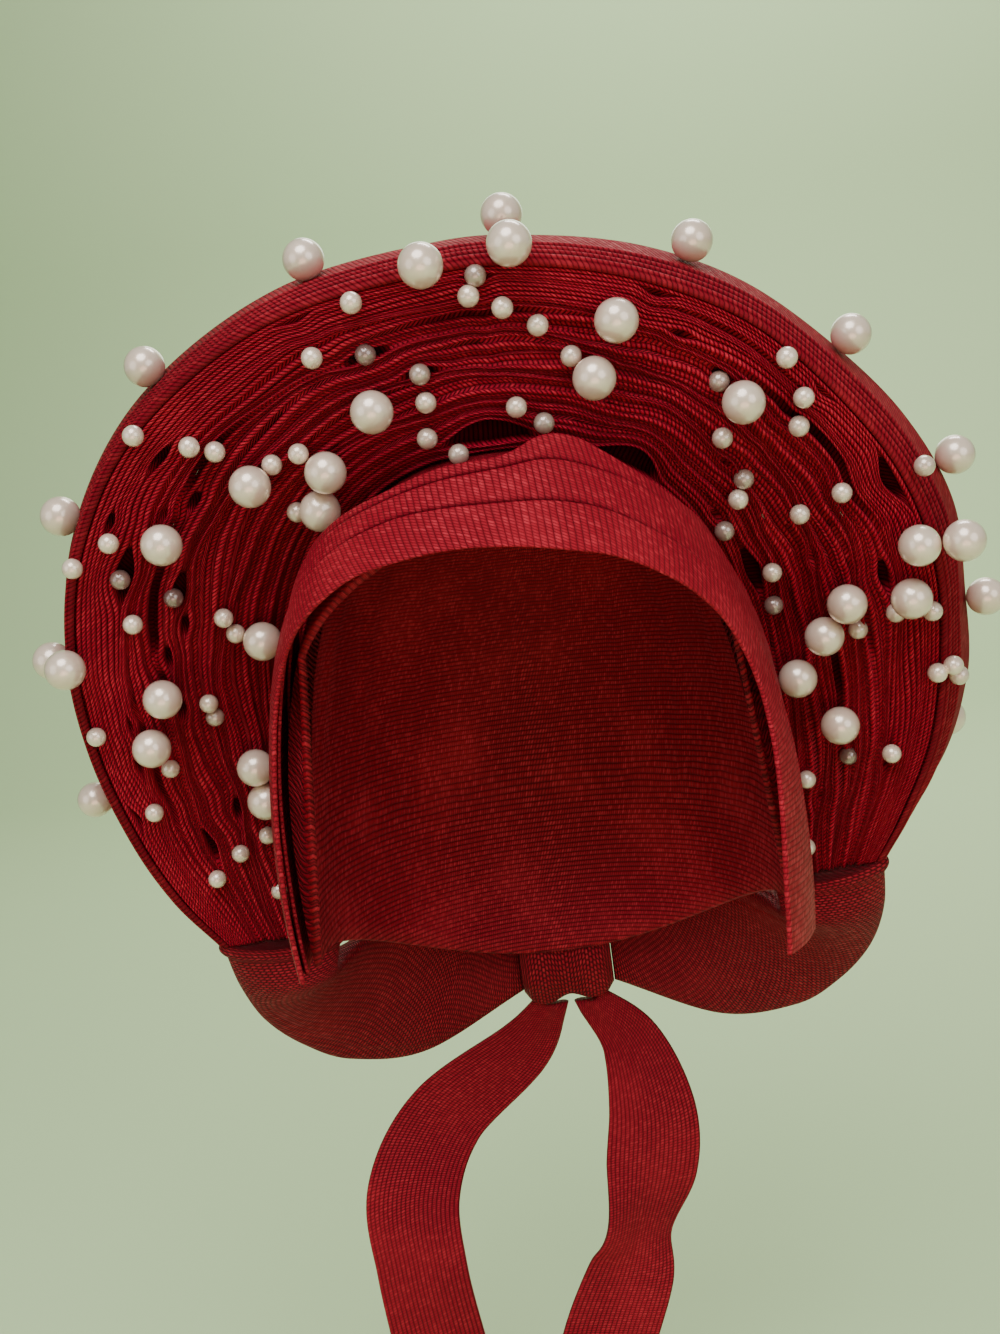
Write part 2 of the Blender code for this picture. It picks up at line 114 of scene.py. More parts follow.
# Steps from one fold's crest to the next, as shares of the rest of its group: tight bundles with
# flats between them.
INNER_STEPS = (0.6, 0.8, 0.8, 0.8, 0.8, 0.8, 0.9, 1.3, 0.8, 0.8, 0.8, 0.8, 0.8, 1.3, 0.5)
MIDDLE_STEPS = (0.5, 0.9, 1.4, 0.9, 0.9, 1.4, 0.9, 0.9, 0.9, 1.5, 0.9, 1.0, 0.8)
OUTER_STEPS = (0.8, 0.9, 0.8, 0.8, 1.4, 0.8, 0.8, 0.8, 0.8, 0.8, 0.8, 0.8, 0.8, 0.8, 0.5)
INNER_FOLDS, MIDDLE_FOLDS, OUTER_FOLDS = (
    len(steps) - 1 for steps in (INNER_STEPS, MIDDLE_STEPS, OUTER_STEPS))
FOLDS = INNER_FOLDS + MIDDLE_FOLDS + OUTER_FOLDS

# How a fold sways, one row a wave: reach, length, shift from fold to fold and start.
FOLD_SWAYS = ((0.0008, 0.0105, 0.33, 0.0), (0.0003, 0.0051, -0.42, 1.0), (0.0012, 0.027, 0.80, 0.0))
LOOSE_START = 1.15
LOOSE_SPAN = 0.050
LEAST_PITCH = 0.5
FIRST_PITCH = 0.45
OPENING_REACH = 4

# How far a fold is set back: for all, its sway (reach, length, shift), its belly, and near the rim.
SET_BACK = 0.0011
SET_BACK_SWAY = (0.0009, 0.033, 1.9)
SET_BACK_BELLY = 0.0009
RIM_SHARE = 0.70
RIM_RUN = 0.15
RIM_FLATTENING = 0.75

# Section of a fold, and the floor between two folds
CREST_ROWS = 7
FOLD_ROWS = CREST_ROWS + 2
FOLD_RADIUS = 0.00105
CREST_SHARE = 0.47
CREST_SIDE = 0.9
VALLEY_DEPTH = 0.0062
FLAT_DEPTH = 0.0017
EDGE_FLOOR = 0.5
FREE_SLOPE = 0.5
OPEN_SLOPE = 2.5
OPEN_WIDTH = 0.0016
CREST_WEAVE = 1.57
SIDE_WEAVE = 0.0040
END_WEAVE = 0.001
WEAVE_SLANT = 0.55
# Painted shade in the valleys starts SHADE_START deep and reaches full strength SHADE_RUN of
# VALLEY_DEPTH deeper.
SHADE_START = 0.0014
SHADE_RUN = 0.7
REAR_RELIEF = 0.0013
SEAT_TUCK = 0.0010
TUCK_REACH = 0.0080
TUCK_STEPS = 81
LINE_GAP = 0.00002

# Outer strip: its cords and where its smooth part starts are shares of STRIP_DEPTH. Painted shade
# darkens its flanks, except where rim_p lies between STRIP_LIT_FROM and STRIP_LIT_TO, each with the
# run over which it fades.
STRIP_DEPTH = 0.040
STRIP_WALL = 0.002
STRIP_EDGE = 0.75
STRIP_SHADE = 0.35
STRIP_CORD = 0.0009
STRIP_CORDS = (0.06, 0.22, 0.38, 0.54)
STRIP_SMOOTH = 0.60
STRIP_ROWS = 12
CORD_ROWS = 9
CORD_SHADE = 0.8
CORD_TWIST = 0.5
STRIP_TWIST = 0.3
STRIP_LIT_FROM = (-0.62, 0.3)
STRIP_LIT_TO = (0.97, 0.2)

# Nape knot, wraps below the ears and the two ties
KNOT_HALF_WIDTH = 0.017
KNOT_HALF_DEPTH = 0.013
KNOT_HALF_HEIGHT = 0.019
KNOT_FOLDS = 7
KNOT_FOLD = 0.05
KNOT_TWIST = 2.0
KNOT_WAIST = 0.4
WRAP_MOUTH_THICKNESS = 0.015
WRAP_MOUTH_MARGIN = 0.0035
WRAP_END_WIDTH = 0.026
WRAP_WIDTH = 0.052
WRAP_END_SHARE = 0.6
WRAP_DISH = 0.0012
WRAP_SPACING = 1.3
DISH_FROM = 0.08
DISH_TO = 0.90
MOUTH_SHADE = 0.30
WRAP_CREASE_WIDTH = 0.10
WRAP_CREASE_START = 3
HEM_SWELL = 0.09
HEM_REACH = 0.0045
TIE_WIDTH = 0.035
TIE_WALL = 0.0015
TIE_DROP = 0.165
TIE_ROWS = 22
TIE_RIPPLE = 0.0008
TIE_RIPPLES_ACROSS = 9
TIE_RIPPLES_ALONG = 6
TIE_TAUT_WIDTH = 1.3

# Pearls
PEARL_RADIUS = 0.006
SMALL_PEARL_RADIUS = 0.003
PEARL_ROUNDS = (36, 22)
SMALL_PEARL_ROUNDS = (20, 12)
PEARL_SEAT = 0.8
SUNK_DEPTH = 0.6
SUNK_SHADE = 0.60

# How finely the cloth is worked out along its length
COLUMNS = 520
BAND_COLUMNS = 420
WRAP_COLUMNS = 130
KNOT_COLUMNS = 70
TIE_COLUMNS = 160

# One row a station, from the left gather over the top to the right gather.
# low and top: the band's two edges, as an angle round the head and a share of HEAD_HEIGHT.
# fold_1 and fold_2: where one tier of the band gives way to the next, as shares of its width.
# seat: where the innermost pleat meets the head, as an angle round it, an elevation and a lift
# as a share of SEAT_LIFT.
# rim: the outermost pleat, as shares of FAN_HALF_WIDTH, FAN_HEIGHT and PLEAT_DEPTH.
# flare and reach: how far the outer strip leans out, and its depth as a share of STRIP_DEPTH.
STATION_COLUMNS = (
    "low_angle low_height top_angle top_height fold_1 fold_2 "
    "seat_angle seat_elevation seat_lift rim_p rim_q rim_n flare reach"
).split()
STATIONS = (
    (-70, -0.25, -104, -0.26, 0.35, 0.70, -112, -14, 1.000, -0.810, 0.000, 0.00, 20, 0.30),
    (-69, -0.02, -104, 0.00, 0.35, 0.70, -112, -4, 0.364, -0.890, 0.095, 0.00, 26, 0.70),
    (-68, 0.24, -104, 0.27, 0.35, 0.70, -109, 6, 0.055, -0.950, 0.215, 0.00, 21, 1.00),
    (-66, 0.46, -94, 0.52, 0.38, 0.72, -102, 22, 0.055, -0.985, 0.370, 0.00, 17, 1.00),
    (-58, 0.60, -76, 0.76, 0.42, 0.80, -94, 38, 0.055, -0.970, 0.530, 0.00, 14, 1.00),
    (-38, 0.71, -55, 0.85, 0.50, 0.84, -84, 53, 0.055, -0.886, 0.690, 0.00, 11, 1.00),
    (-21, 0.745, -31, 0.905, 0.56, 0.86, -66, 66, 0.055, -0.708, 0.840, 0.00, 5, 1.00),
    (-7, 0.755, -13, 0.940, 0.50, 0.84, -38, 73, 0.055, -0.404, 0.955, 0.00, 0, 1.00),
    (4, 0.743, 3, 0.950, 0.48, 0.86, -4, 75, 0.055, -0.059, 0.990, 0.00, -2, 1.00),
    (14, 0.722, 16, 0.985, 0.41, 0.78, 24, 74, 0.055, 0.147, 0.981, 0.00, -2, 1.00),
    (23, 0.700, 28, 0.970, 0.38, 0.74, 46, 70, 0.055, 0.353, 0.943, 0.00, 1, 1.00),
    (33, 0.655, 42, 0.893, 0.38, 0.80, 64, 62, 0.055, 0.551, 0.873, 0.00, 4, 1.00),
    (43, 0.590, 55, 0.815, 0.37, 0.82, 79, 51, 0.055, 0.715, 0.766, -0.20, 9, 1.00),
    (51, 0.500, 67, 0.735, 0.31, 0.81, 91, 38, 0.055, 0.840, 0.648, -0.40, 15, 1.00),
    (56, 0.364, 82, 0.545, 0.28, 0.78, 101, 24, 0.055, 0.908, 0.516, -0.60, 22, 1.00),
    (56, 0.229, 96, 0.320, 0.28, 0.74, 107, 11, 0.055, 0.922, 0.376, -0.60, 25, 1.00),
    (54, 0.085, 100, 0.100, 0.30, 0.70, 110, 1, 0.273, 0.902, 0.235, -0.60, 30, 1.00),
    (52, -0.085, 104, -0.10, 0.33, 0.70, 112, -7, 0.545, 0.840, 0.103, -0.30, 34, 0.70),
    (52, -0.25, 104, -0.27, 0.35, 0.70, 112, -14, 1.000, 0.785, 0.014, 0.00, 20, 0.30),
)

# Where the folds of the fan part, one row an opening: across and up as shares of FAN_HALF_WIDTH
# and FAN_HEIGHT, half its length along the folds and half its width, as shares of PLEAT_DEPTH.
OPENINGS = (
    (-0.676, 0.803, 1.2, 0.20), (-0.228, 0.904, 1.5, 0.20), (-0.118, 0.869, 1.2, 0.22),
    (-0.643, 0.728, 0.9, 0.20), (-0.706, 0.716, 0.8, 0.15), (-0.824, 0.723, 0.8, 0.17),
    (-0.831, 0.638, 1.7, 0.36), (-0.728, 0.596, 1.3, 0.27), (0.000, 0.765, 2.3, 0.50),
    (0.026, 0.980, 0.8, 0.16), (-0.349, 0.974, 0.9, 0.12), (0.390, 0.953, 0.9, 0.15),
    (0.419, 0.873, 0.8, 0.15), (0.485, 0.803, 0.9, 0.18), (0.490, 0.685, 0.9, 0.19),
    (0.471, 0.601, 0.8, 0.15), (0.551, 0.498, 1.7, 0.30), (0.285, 0.705, 1.9, 0.46),
    (0.713, 0.784, 0.8, 0.12), (0.880, 0.660, 1.6, 0.30), (0.676, 0.521, 0.9, 0.20),
    (0.815, 0.493, 1.2, 0.24), (0.669, 0.117, 1.0, 0.18), (0.596, 0.061, 1.0, 0.24),
    (0.821, 0.188, 0.8, 0.12), (-0.809, 0.495, 1.0, 0.20), (-0.907, 0.399, 0.8, 0.15),
    (-0.801, 0.404, 0.8, 0.17), (-0.735, 0.540, 1.0, 0.19), (-0.953, 0.254, 1.0, 0.16),
    (-0.735, 0.216, 1.0, 0.20), (-0.801, 0.169, 1.3, 0.22), (-0.721, 0.155, 0.8, 0.16),
    (-0.647, 0.221, 1.0, 0.18), (-0.912, 0.338, 0.9, 0.18), (0.020, 0.930, 6.0, 0.15),
    (0.080, 0.885, 4.5, 0.13), (0.500, 0.870, 5.0, 0.12), (0.700, 0.690, 5.5, 0.12),
    (-0.560, 0.800, 5.0, 0.12), (-0.790, 0.560, 5.0, 0.12), (-0.880, 0.330, 5.0, 0.10),
    (0.720, 0.330, 5.0, 0.12), (0.830, 0.330, 5.0, 0.10),
)

# Small pearls: across and up as shares of FAN_HALF_WIDTH and FAN_HEIGHT, and how far each has
# sunk between the folds, as a share of SMALL_PEARL_RADIUS.
SMALL_PEARLS = (
    (-0.829, 0.696, 0.0), (-0.920, 0.667, 0.0), (-0.718, 0.839, 0.0), (-0.611, 0.814, 0.0),
    (-0.561, 0.803, 0.0), (-0.326, 0.908, 0.0), (-0.229, 0.970, 0.0), (-0.219, 0.903, 1.6),
    (-0.118, 0.868, 1.0), (-0.115, 0.830, 0.0), (-0.124, 0.782, 0.3), (-0.065, 0.755, 0.4),
    (0.001, 0.958, 0.0), (0.064, 0.938, 0.0), (0.129, 0.910, 0.0), (0.188, 0.865, 0.2),
    (0.066, 0.808, 0.0), (0.118, 0.782, 0.8), (-0.451, 0.775, 0.0), (-0.392, 0.785, 0.0),
    (-0.420, 0.705, 0.4), (-0.826, 0.642, 1.5), (-0.723, 0.605, 1.7), (-0.826, 0.573, 0.0),
    (-0.627, 0.565, 0.0), (-0.609, 0.539, 0.1), (-0.707, 0.435, 0.0), (-0.701, 0.412, 0.9),
    (-0.979, 0.404, 0.0), (-0.833, 0.336, 0.2), (-0.899, 0.264, 0.0), (-0.651, 0.200, 0.3),
    (-0.725, 0.173, 0.3), (-0.796, 0.132, 0.0), (-0.657, 0.097, 0.6), (0.020, 0.982, 1.2),
    (0.618, 0.825, 0.0), (0.649, 0.769, 0.0), (0.637, 0.731, 0.2), (0.479, 0.806, 1.1),
    (0.479, 0.729, 0.5), (0.518, 0.668, 1.1), (0.504, 0.640, 0.0), (0.471, 0.597, 1.2),
    (0.632, 0.607, 0.1), (0.722, 0.630, 0.1), (0.895, 0.653, 0.5), (0.568, 0.526, 0.1),
    (0.568, 0.476, 1.4), (0.751, 0.421, 0.3), (0.835, 0.440, 0.4), (0.915, 0.435, 0.3),
    (0.928, 0.335, 0.0), (0.963, 0.344, 0.0), (0.976, 0.327, 0.4), (0.824, 0.208, 0.0),
    (0.724, 0.214, 1.5), (0.626, 0.181, 0.0), (0.619, 0.058, 0.0),
)

# One row a section of a wrap, after its mouth and down to the knot, for the right-hand side:
# its outer edge (x, y, z) and its inner edge (x, y, z) from the mouth's middle, as shares of
# WRAP_WIDTH, and its thickness as a share of WRAP_MOUTH_THICKNESS.
WRAP_ROWS = (
    (0.36, 0.12, -0.31, -0.33, 0.04, -0.27, 1.00),
    (0.29, 0.35, -0.65, -0.40, 0.25, -0.22, 0.95),
    (0.09, 0.56, -0.94, -0.58, 0.50, -0.15, 0.85),
    (-0.20, 0.77, -1.16, -0.86, 0.74, -0.14, 0.75),
    (-0.72, 1.00, -1.24, -1.22, 0.93, -0.18, 0.65),
)

# One row a crease of a wrap: where it starts round it, how far it drifts, and its depth.
WRAP_CREASES = ((2.0, 0.9, 0.055), (3.6, -0.7, 0.045), (5.2, 0.8, 0.05))

# The knot from side to side: place and size, as shares of its half width and its half sizes.
KNOT_PROFILE = (
    (-1, 0.72), (-0.8, 0.94), (-0.45, 1.0), (0, 0.86), (0.45, 1.0), (0.8, 0.94), (1, 0.72),
)

# One row a section of a tie, from the knot's foot down: x and y as shares of TIE_WIDTH from the
# knot's middle, drop as a share of TIE_DROP, width and wall as shares, and a turn in degrees.
RIGHT_TIE = (
    (0.21, 0.00, 0.000, 0.36, 3.0, 0),
    (0.58, -0.14, 0.100, 0.66, 1.8, 0),
    (0.71, -0.36, 0.240, 0.92, 1.0, 0),
    (0.63, -0.46, 0.370, 0.98, 1.0, 6),
    (0.42, -0.48, 0.510, 0.78, 1.6, 24),
    (0.27, -0.48, 0.610, 0.94, 1.0, 6),
    (-0.07, -0.50, 0.770, 1.00, 1.0, 0),
    (-0.42, -0.50, 1.000, 1.00, 1.0, 0),
)
LEFT_TIE = (
    (-0.21, 0.00, 0.000, 0.36, 3.0, 0),
    (-0.62, 0.10, 0.110, 0.66, 1.8, 0),
    (-1.52, -0.06, 0.235, 0.88, 1.0, 0),
    (-1.94, -0.34, 0.380, 1.00, 1.0, 0),
    (-1.94, -0.50, 0.550, 1.00, 1.0, -6),
    (-1.84, -0.50, 0.760, 1.00, 1.0, 0),
    (-1.76, -0.50, 0.900, 1.00, 1.0, 0),
)


# Forms shared by the pieces

def smooth_rows(rows, places):
    """Catmull-Rom curve through the rows, read at each place, counted in rows from the first."""
    data = np.array(rows, dtype=float)
    padded = np.vstack([2 * data[0] - data[1], data, 2 * data[-1] - data[-2]])
    left = np.clip(np.floor(places).astype(int), 0, len(data) - 2)
    step = (places - left)[:, None]
    before, here, after, beyond = (padded[left + k] for k in range(4))
    return 0.5 * (
        2 * here
        + (after - before) * step
        + (2 * before - 5 * here + 4 * after - beyond) * step**2
        + (3 * here - before - 3 * after + beyond) * step**3
    )


def signed_power(value, power):
    return np.sign(value) * np.abs(value) ** power


def unit(vectors):
    return vectors / np.linalg.norm(vectors, axis=-1, keepdims=True)


def ease(value):
    """0 below 0, 1 above 1, and 3 v squared minus 2 v cubed between them."""
    value = np.clip(value, 0, 1)
    return value * value * (3 - 2 * value)


LEAN = math.radians(FAN_LEAN)
ORIGIN = np.array([0.0, FAN_FOOT_BACK, -FAN_FOOT_DROP])
ACROSS = np.array([1.0, 0.0, 0.0])
UP = np.array([0.0, -math.sin(LEAN), math.cos(LEAN)])
BACK = np.array([0.0, math.cos(LEAN), math.sin(LEAN)])


def fan_point(p, q, n):
    """Point of the fan's frame in the object's frame, for whole arrays."""
    spread = np.multiply.outer
    return ORIGIN + spread(p, ACROSS) + spread(q, UP) + spread(n, BACK)


def plan_point(angle, ring, height, lift):
    """Superellipse of the head's plan, lifted off it and drawn in by ring; 0 degrees in front."""
    share = 2 / HEAD_ROUNDNESS
    turn = np.radians(angle)
    return np.stack([
        (HEAD_HALF_WIDTH + lift) * ring * signed_power(np.sin(turn), share),
        -(HEAD_HALF_LENGTH + lift) * ring * signed_power(np.cos(turn), share),
        height + 0 * ring,
    ], axis=-1)


def head_point(angle, elevation, lift):
    """Superellipsoid of the head, lifted off it; angles in degrees."""
    share = 2 / HEAD_ROUNDNESS
    rise = np.radians(elevation)
    height = (HEAD_HEIGHT + lift) * signed_power(np.sin(rise), share)
    return plan_point(angle, signed_power(np.cos(rise), share), height, lift)


def brow_point(angle, height, lift):
    """The head's plan, drawn in by the root of 1 minus the square of height over BROW_APEX."""
    return plan_point(angle, np.sqrt(1 - (height / BROW_APEX) ** 2), height, lift)


def stations(count):
    """The station table read at count even places, as named columns."""
    rows = smooth_rows(STATIONS, np.linspace(0, len(STATIONS) - 1, count))
    return dict(zip(STATION_COLUMNS, rows.T))


def seat_and_rim(table):
    """The innermost and the outermost pleat, as two rows of points."""
    seat = head_point(table["seat_angle"], table["seat_elevation"], table["seat_lift"] * SEAT_LIFT)
    across, up, back = (table[key] for key in ("rim_p", "rim_q", "rim_n"))
    rim = fan_point(across * FAN_HALF_WIDTH, up * FAN_HEIGHT, back * PLEAT_DEPTH)
    return seat, rim


def way_along(points):
    """Distance from the first point of each row to each of its points."""
    steps = np.linalg.norm(np.diff(points, axis=-2), axis=-1)
    return np.concatenate([np.zeros(steps.shape[:-1] + (1,)), np.cumsum(steps, axis=-1)], axis=-1)


# Meshes

def place_object(name, data):
    """One object in the scene, from its mesh, lamp or camera."""
    thing = bpy.data.objects.new(name, data)
    bpy.context.scene.collection.objects.link(thing)
    return thing


def make_piece(name, points, faces, material, corners=None, marks=None):
    """One object with its mesh, its weave map with a value for each corner of a face, and its
    painted-shade marks with a value for each point."""
    mesh = bpy.data.meshes.new(name)
    mesh.from_pydata(points.tolist(), [], faces)
    if corners is not None:
        mesh.uv_layers.new(name="weave").data.foreach_set("uv", corners.ravel())
    if marks is not None:
        mesh.attributes.new("painted_shade", "FLOAT", "POINT").data.foreach_set("value", marks.ravel())
    mesh.shade_smooth()
    mesh.materials.append(material)
    piece = place_object(name, mesh)
    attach(piece, "root")
    return piece


def shell(name, rings, weave, material, marks=None):
    """Closed skin through rings[i, j], where i goes round the section and j along the path, with
    both ends filled. weave[i, j] is the cloth's map in metres, with one row more to close it."""
    around, along = rings.shape[:2]
    i = np.arange(around)[:, None]
    j = np.arange(along - 1)[None, :]
    here = i * along + j
    there = (i + 1) % around * along + j
    quads = np.stack([here, here + 1, there + 1, there], axis=-1).reshape(-1, 4)
    corners = [weave[i, j], weave[i, j + 1], weave[i + 1, j + 1], weave[i + 1, j]]
    corners = np.stack(corners, axis=-2).reshape(-1, 4, 2)
    points = rings.reshape(-1, 3)
    ends = np.arange(around) * along
    middle = points.mean(axis=0)
    a, b, c, d = (points[quads[:, k]] - middle for k in range(4))
    volume = np.sum(np.cross(a, b) * c) + np.sum(np.cross(a, c) * d)
    first, last = ends, (ends + along - 1)[::-1]
    first_map, last_map = weave[:-1, 0], weave[:-1, -1][::-1]
    if volume < 0:
        quads, corners = quads[:, ::-1], corners[:, ::-1]
        first, last, first_map, last_map = first[::-1], last[::-1], first_map[::-1], last_map[::-1]
    faces = quads.tolist() + [first.tolist(), last.tolist()]
    corners = np.concatenate([corners.reshape(-1, 2), first_map, last_map])
    return make_piece(name, points, faces, material, corners, marks)


def steps_round(rings):
    """Lengths from each point of a closed ring to the next one round it."""
    return np.linalg.norm(np.roll(rings, -1, axis=0) - rings, axis=2)


def rolled_weave(rings):
    """Weave map of a roll of cloth: the way along it by the way round it."""
    steps = steps_round(rings)
    across = np.concatenate([np.zeros((1, steps.shape[1])), np.cumsum(steps, axis=0)])
    return np.stack([np.broadcast_to(way_along(rings[0]), across.shape), across], axis=-1)


def belt_faces(rows, columns):
    """Faces between closed rows of points, each with as many points as there are columns."""
    row = np.arange(rows)[:, None] * columns
    column = np.arange(columns)[None, :]
    after = (column + 1) % columns
    corners = [row + column, row + after, row + columns + after, row + columns + column]
    return np.stack(corners, axis=-1).reshape(-1, 4)


def beads(name, centres, radius, sides, rings, material, marks=None):
    """Spheres round the centres: sides meridians and rings parallels, closed at both poles. marks
    holds one value a sphere."""
    rise = np.linspace(-math.pi / 2, math.pi / 2, rings + 1)[1:-1, None]
    turn = np.arange(sides)[None, :] * 2 * math.pi / sides
    belt = np.stack([
        np.cos(rise) * np.cos(turn), np.cos(rise) * np.sin(turn), np.sin(rise) + 0 * turn,
    ], axis=-1).reshape(-1, 3)
    one = np.vstack([belt, [0, 0, -1], [0, 0, 1]])
    top = (rings - 2) * sides
    column = np.arange(sides)
    after = np.roll(column, -1)
    low = np.stack([after, column, np.full(sides, len(belt))], axis=-1)
    high = np.stack([top + column, top + after, np.full(sides, len(belt) + 1)], axis=-1)
    centres = np.asarray(centres)
    points = (centres[:, None, :] + radius * one[None]).reshape(-1, 3)
    shift = (np.arange(len(centres)) * len(one))[:, None, None]
    faces = []
    for part in (belt_faces(rings - 2, sides), low, high):
        faces += (part[None] + shift).reshape(-1, part.shape[1]).tolist()
    if marks is not None:
        marks = np.repeat(marks, len(one))
    return make_piece(name, points, faces, material, marks=marks)


# Materials

def number(tree, operation, first, second=None, third=None):
    """One step of arithmetic; each value is a socket or a number."""
    node = tree.nodes.new("ShaderNodeMath")
    node.operation = operation
    for socket, value in zip(node.inputs, (first, second, third)):
        if value is None:
            continue
        if isinstance(value, (int, float)):
            socket.default_value = value
        else:
            tree.links.new(value, socket)
    return node.outputs[0]


def blend_colours(tree, share, first, second):
    """The second colour over the first one, by share."""
    node = tree.nodes.new("ShaderNodeMix")
    node.data_type = "RGBA"
    for slot, value in ((0, share), (6, first), (7, second)):
        socket = node.inputs[slot]
        if isinstance(value, tuple):
            socket.default_value = (*value, 1.0)
        else:
            tree.links.new(value, socket)
    return node.outputs[2]


def group_of(name, takes, gives):
    """Empty node group with named number inputs and outputs."""
    group = bpy.data.node_groups.new(name, "ShaderNodeTree")
    for key, value in takes:
        socket = group.interface.new_socket(
            name=key, in_out="INPUT", socket_type="NodeSocketFloat")
        socket.default_value = value
    for key in gives:
        group.interface.new_socket(name=key, in_out="OUTPUT", socket_type="NodeSocketFloat")
    taken, given = (group.nodes.new(kind) for kind in ("NodeGroupInput", "NodeGroupOutput"))
    return group, taken.outputs, given.inputs


CELL_KEYS = ("Rib", "Stitch", "Slant", "Stagger", "Stitch Depth")
STITCH_ROUNDNESS = 2.4
PATCH_SIZE = 0.03
FUZZ_SCALE = 2600


def woven_cells():
    """Cells of ribbed cloth: each cell is one slanted stitch of a rib, round both ways."""
    takes = [(key, 1) for key in ("Along", "Across", *CELL_KEYS)]
    group, take, give = group_of("woven_cells", takes, ("Height", "Thread"))
    along = number(group, "DIVIDE", take["Along"], take["Rib"])
    rib = number(group, "FLOOR", along)
    side = number(group, "MULTIPLY_ADD", number(group, "SUBTRACT", along, rib), 2, -1)
    across = number(group, "DIVIDE", take["Across"], take["Stitch"])
    across = number(group, "MULTIPLY_ADD", rib, take["Stagger"], across)
    across = number(group, "MULTIPLY_ADD", side, take["Slant"], across)
    stitch = number(group, "FLOOR", across)
    end = number(group, "MULTIPLY_ADD", number(group, "SUBTRACT", across, stitch), 2, -1)

    def rounded(value):
        away = number(group, "POWER", number(group, "ABSOLUTE", value), STITCH_ROUNDNESS)
        left = number(group, "SUBTRACT", 1, away)
        return number(group, "SQRT", number(group, "MAXIMUM", left, 0))

    notch = number(group, "SUBTRACT", 1, rounded(end))
    notch = number(group, "MULTIPLY", notch, take["Stitch Depth"])
    height = number(group, "MULTIPLY", rounded(side), number(group, "SUBTRACT", 1, notch))
    group.links.new(height, give["Height"])
    place = group.nodes.new("ShaderNodeCombineXYZ")
    group.links.new(rib, place.inputs[0])
    group.links.new(stitch, place.inputs[1])
    noise = group.nodes.new("ShaderNodeTexWhiteNoise")
    noise.noise_dimensions = "3D"
    group.links.new(place.outputs[0], noise.inputs["Vector"])
    group.links.new(noise.outputs["Value"], give["Thread"])
    return group


def soft_patches():
    """Slow drift of tone over the cloth, from two noises on the object's own coordinates."""
    group, take, give = group_of("soft_patches", (("Patch Size", PATCH_SIZE),), ("Tone", "Fuzz"))
    place = group.nodes.new("ShaderNodeTexCoord")
    for key in ("Tone", "Fuzz"):
        noise = group.nodes.new("ShaderNodeTexNoise")
        group.links.new(place.outputs["Object"], noise.inputs["Vector"])
        if key == "Tone":
            group.links.new(number(group, "DIVIDE", 1, take["Patch Size"]), noise.inputs["Scale"])
        else:
            noise.inputs["Scale"].default_value = FUZZ_SCALE
        group.links.new(noise.outputs["Fac"], give[key])
    return group


WOVEN = woven_cells()
PATCHES = soft_patches()


def new_material(name, look):
    """A material, its node tree and its shader, with the shader's values from a table."""
    material = bpy.data.materials.new(name)
    material.use_nodes = True
    tree = material.node_tree
    shader = tree.nodes["Principled BSDF"]
    for key, value in look:
        shader.inputs[key].default_value = value
    return material, tree, shader


def group_node(tree, group):
    node = tree.nodes.new("ShaderNodeGroup")
    node.node_tree = group
    return node


# Point attribute of painted shade: darkening laid into the colour of pleat valleys, covered tier
# edges, strip flanks and cord feet, wrap mouths and sunk pearls.
def painted_shade_marks(tree):
    node = tree.nodes.new("ShaderNodeAttribute")
    node.attribute_name = "painted_shade"
    return node.outputs["Fac"]


def add_relief(tree, shader, height, distance):
    """Fine relief of the surface: a height from 0 to 1 over a distance in metres."""
    relief = tree.nodes.new("ShaderNodeBump")
    relief.inputs["Strength"].default_value = 1.0
    relief.inputs["Distance"].default_value = distance
    tree.links.new(height, relief.inputs["Height"])
    tree.links.new(relief.outputs[0], shader.inputs["Normal"])


# Looks of the cloth: how much a bright thread (partly a painted glint) and a patch lighten it, how
# dark the painted shade is and how strongly it is laid on, and what a thread, a raised stitch, the
# painted shade and the fuzz change.
CLOTH_LOOK = (
    ("Sheen Weight", 0.012), ("Sheen Roughness", 0.35), ("Sheen Tint", (1.0, 0.35, 0.35, 1.0)),
)
THREAD_POWER = 3.0
THREAD_LIGHT = 0.60
PATCH_LIGHT = 0.7
PAINTED_SHADE_TONE = 0.30
PAINTED_SHADE_SHARE = 0.90
ROUGHNESS_RISE = 0.08
THREAD_ROUGHNESS = -0.16
RAISED_ROUGHNESS = -0.08
SPECULAR = 0.10
PAINTED_SHADE_SPECULAR = -0.09
FUZZ_RELIEF = 0.12


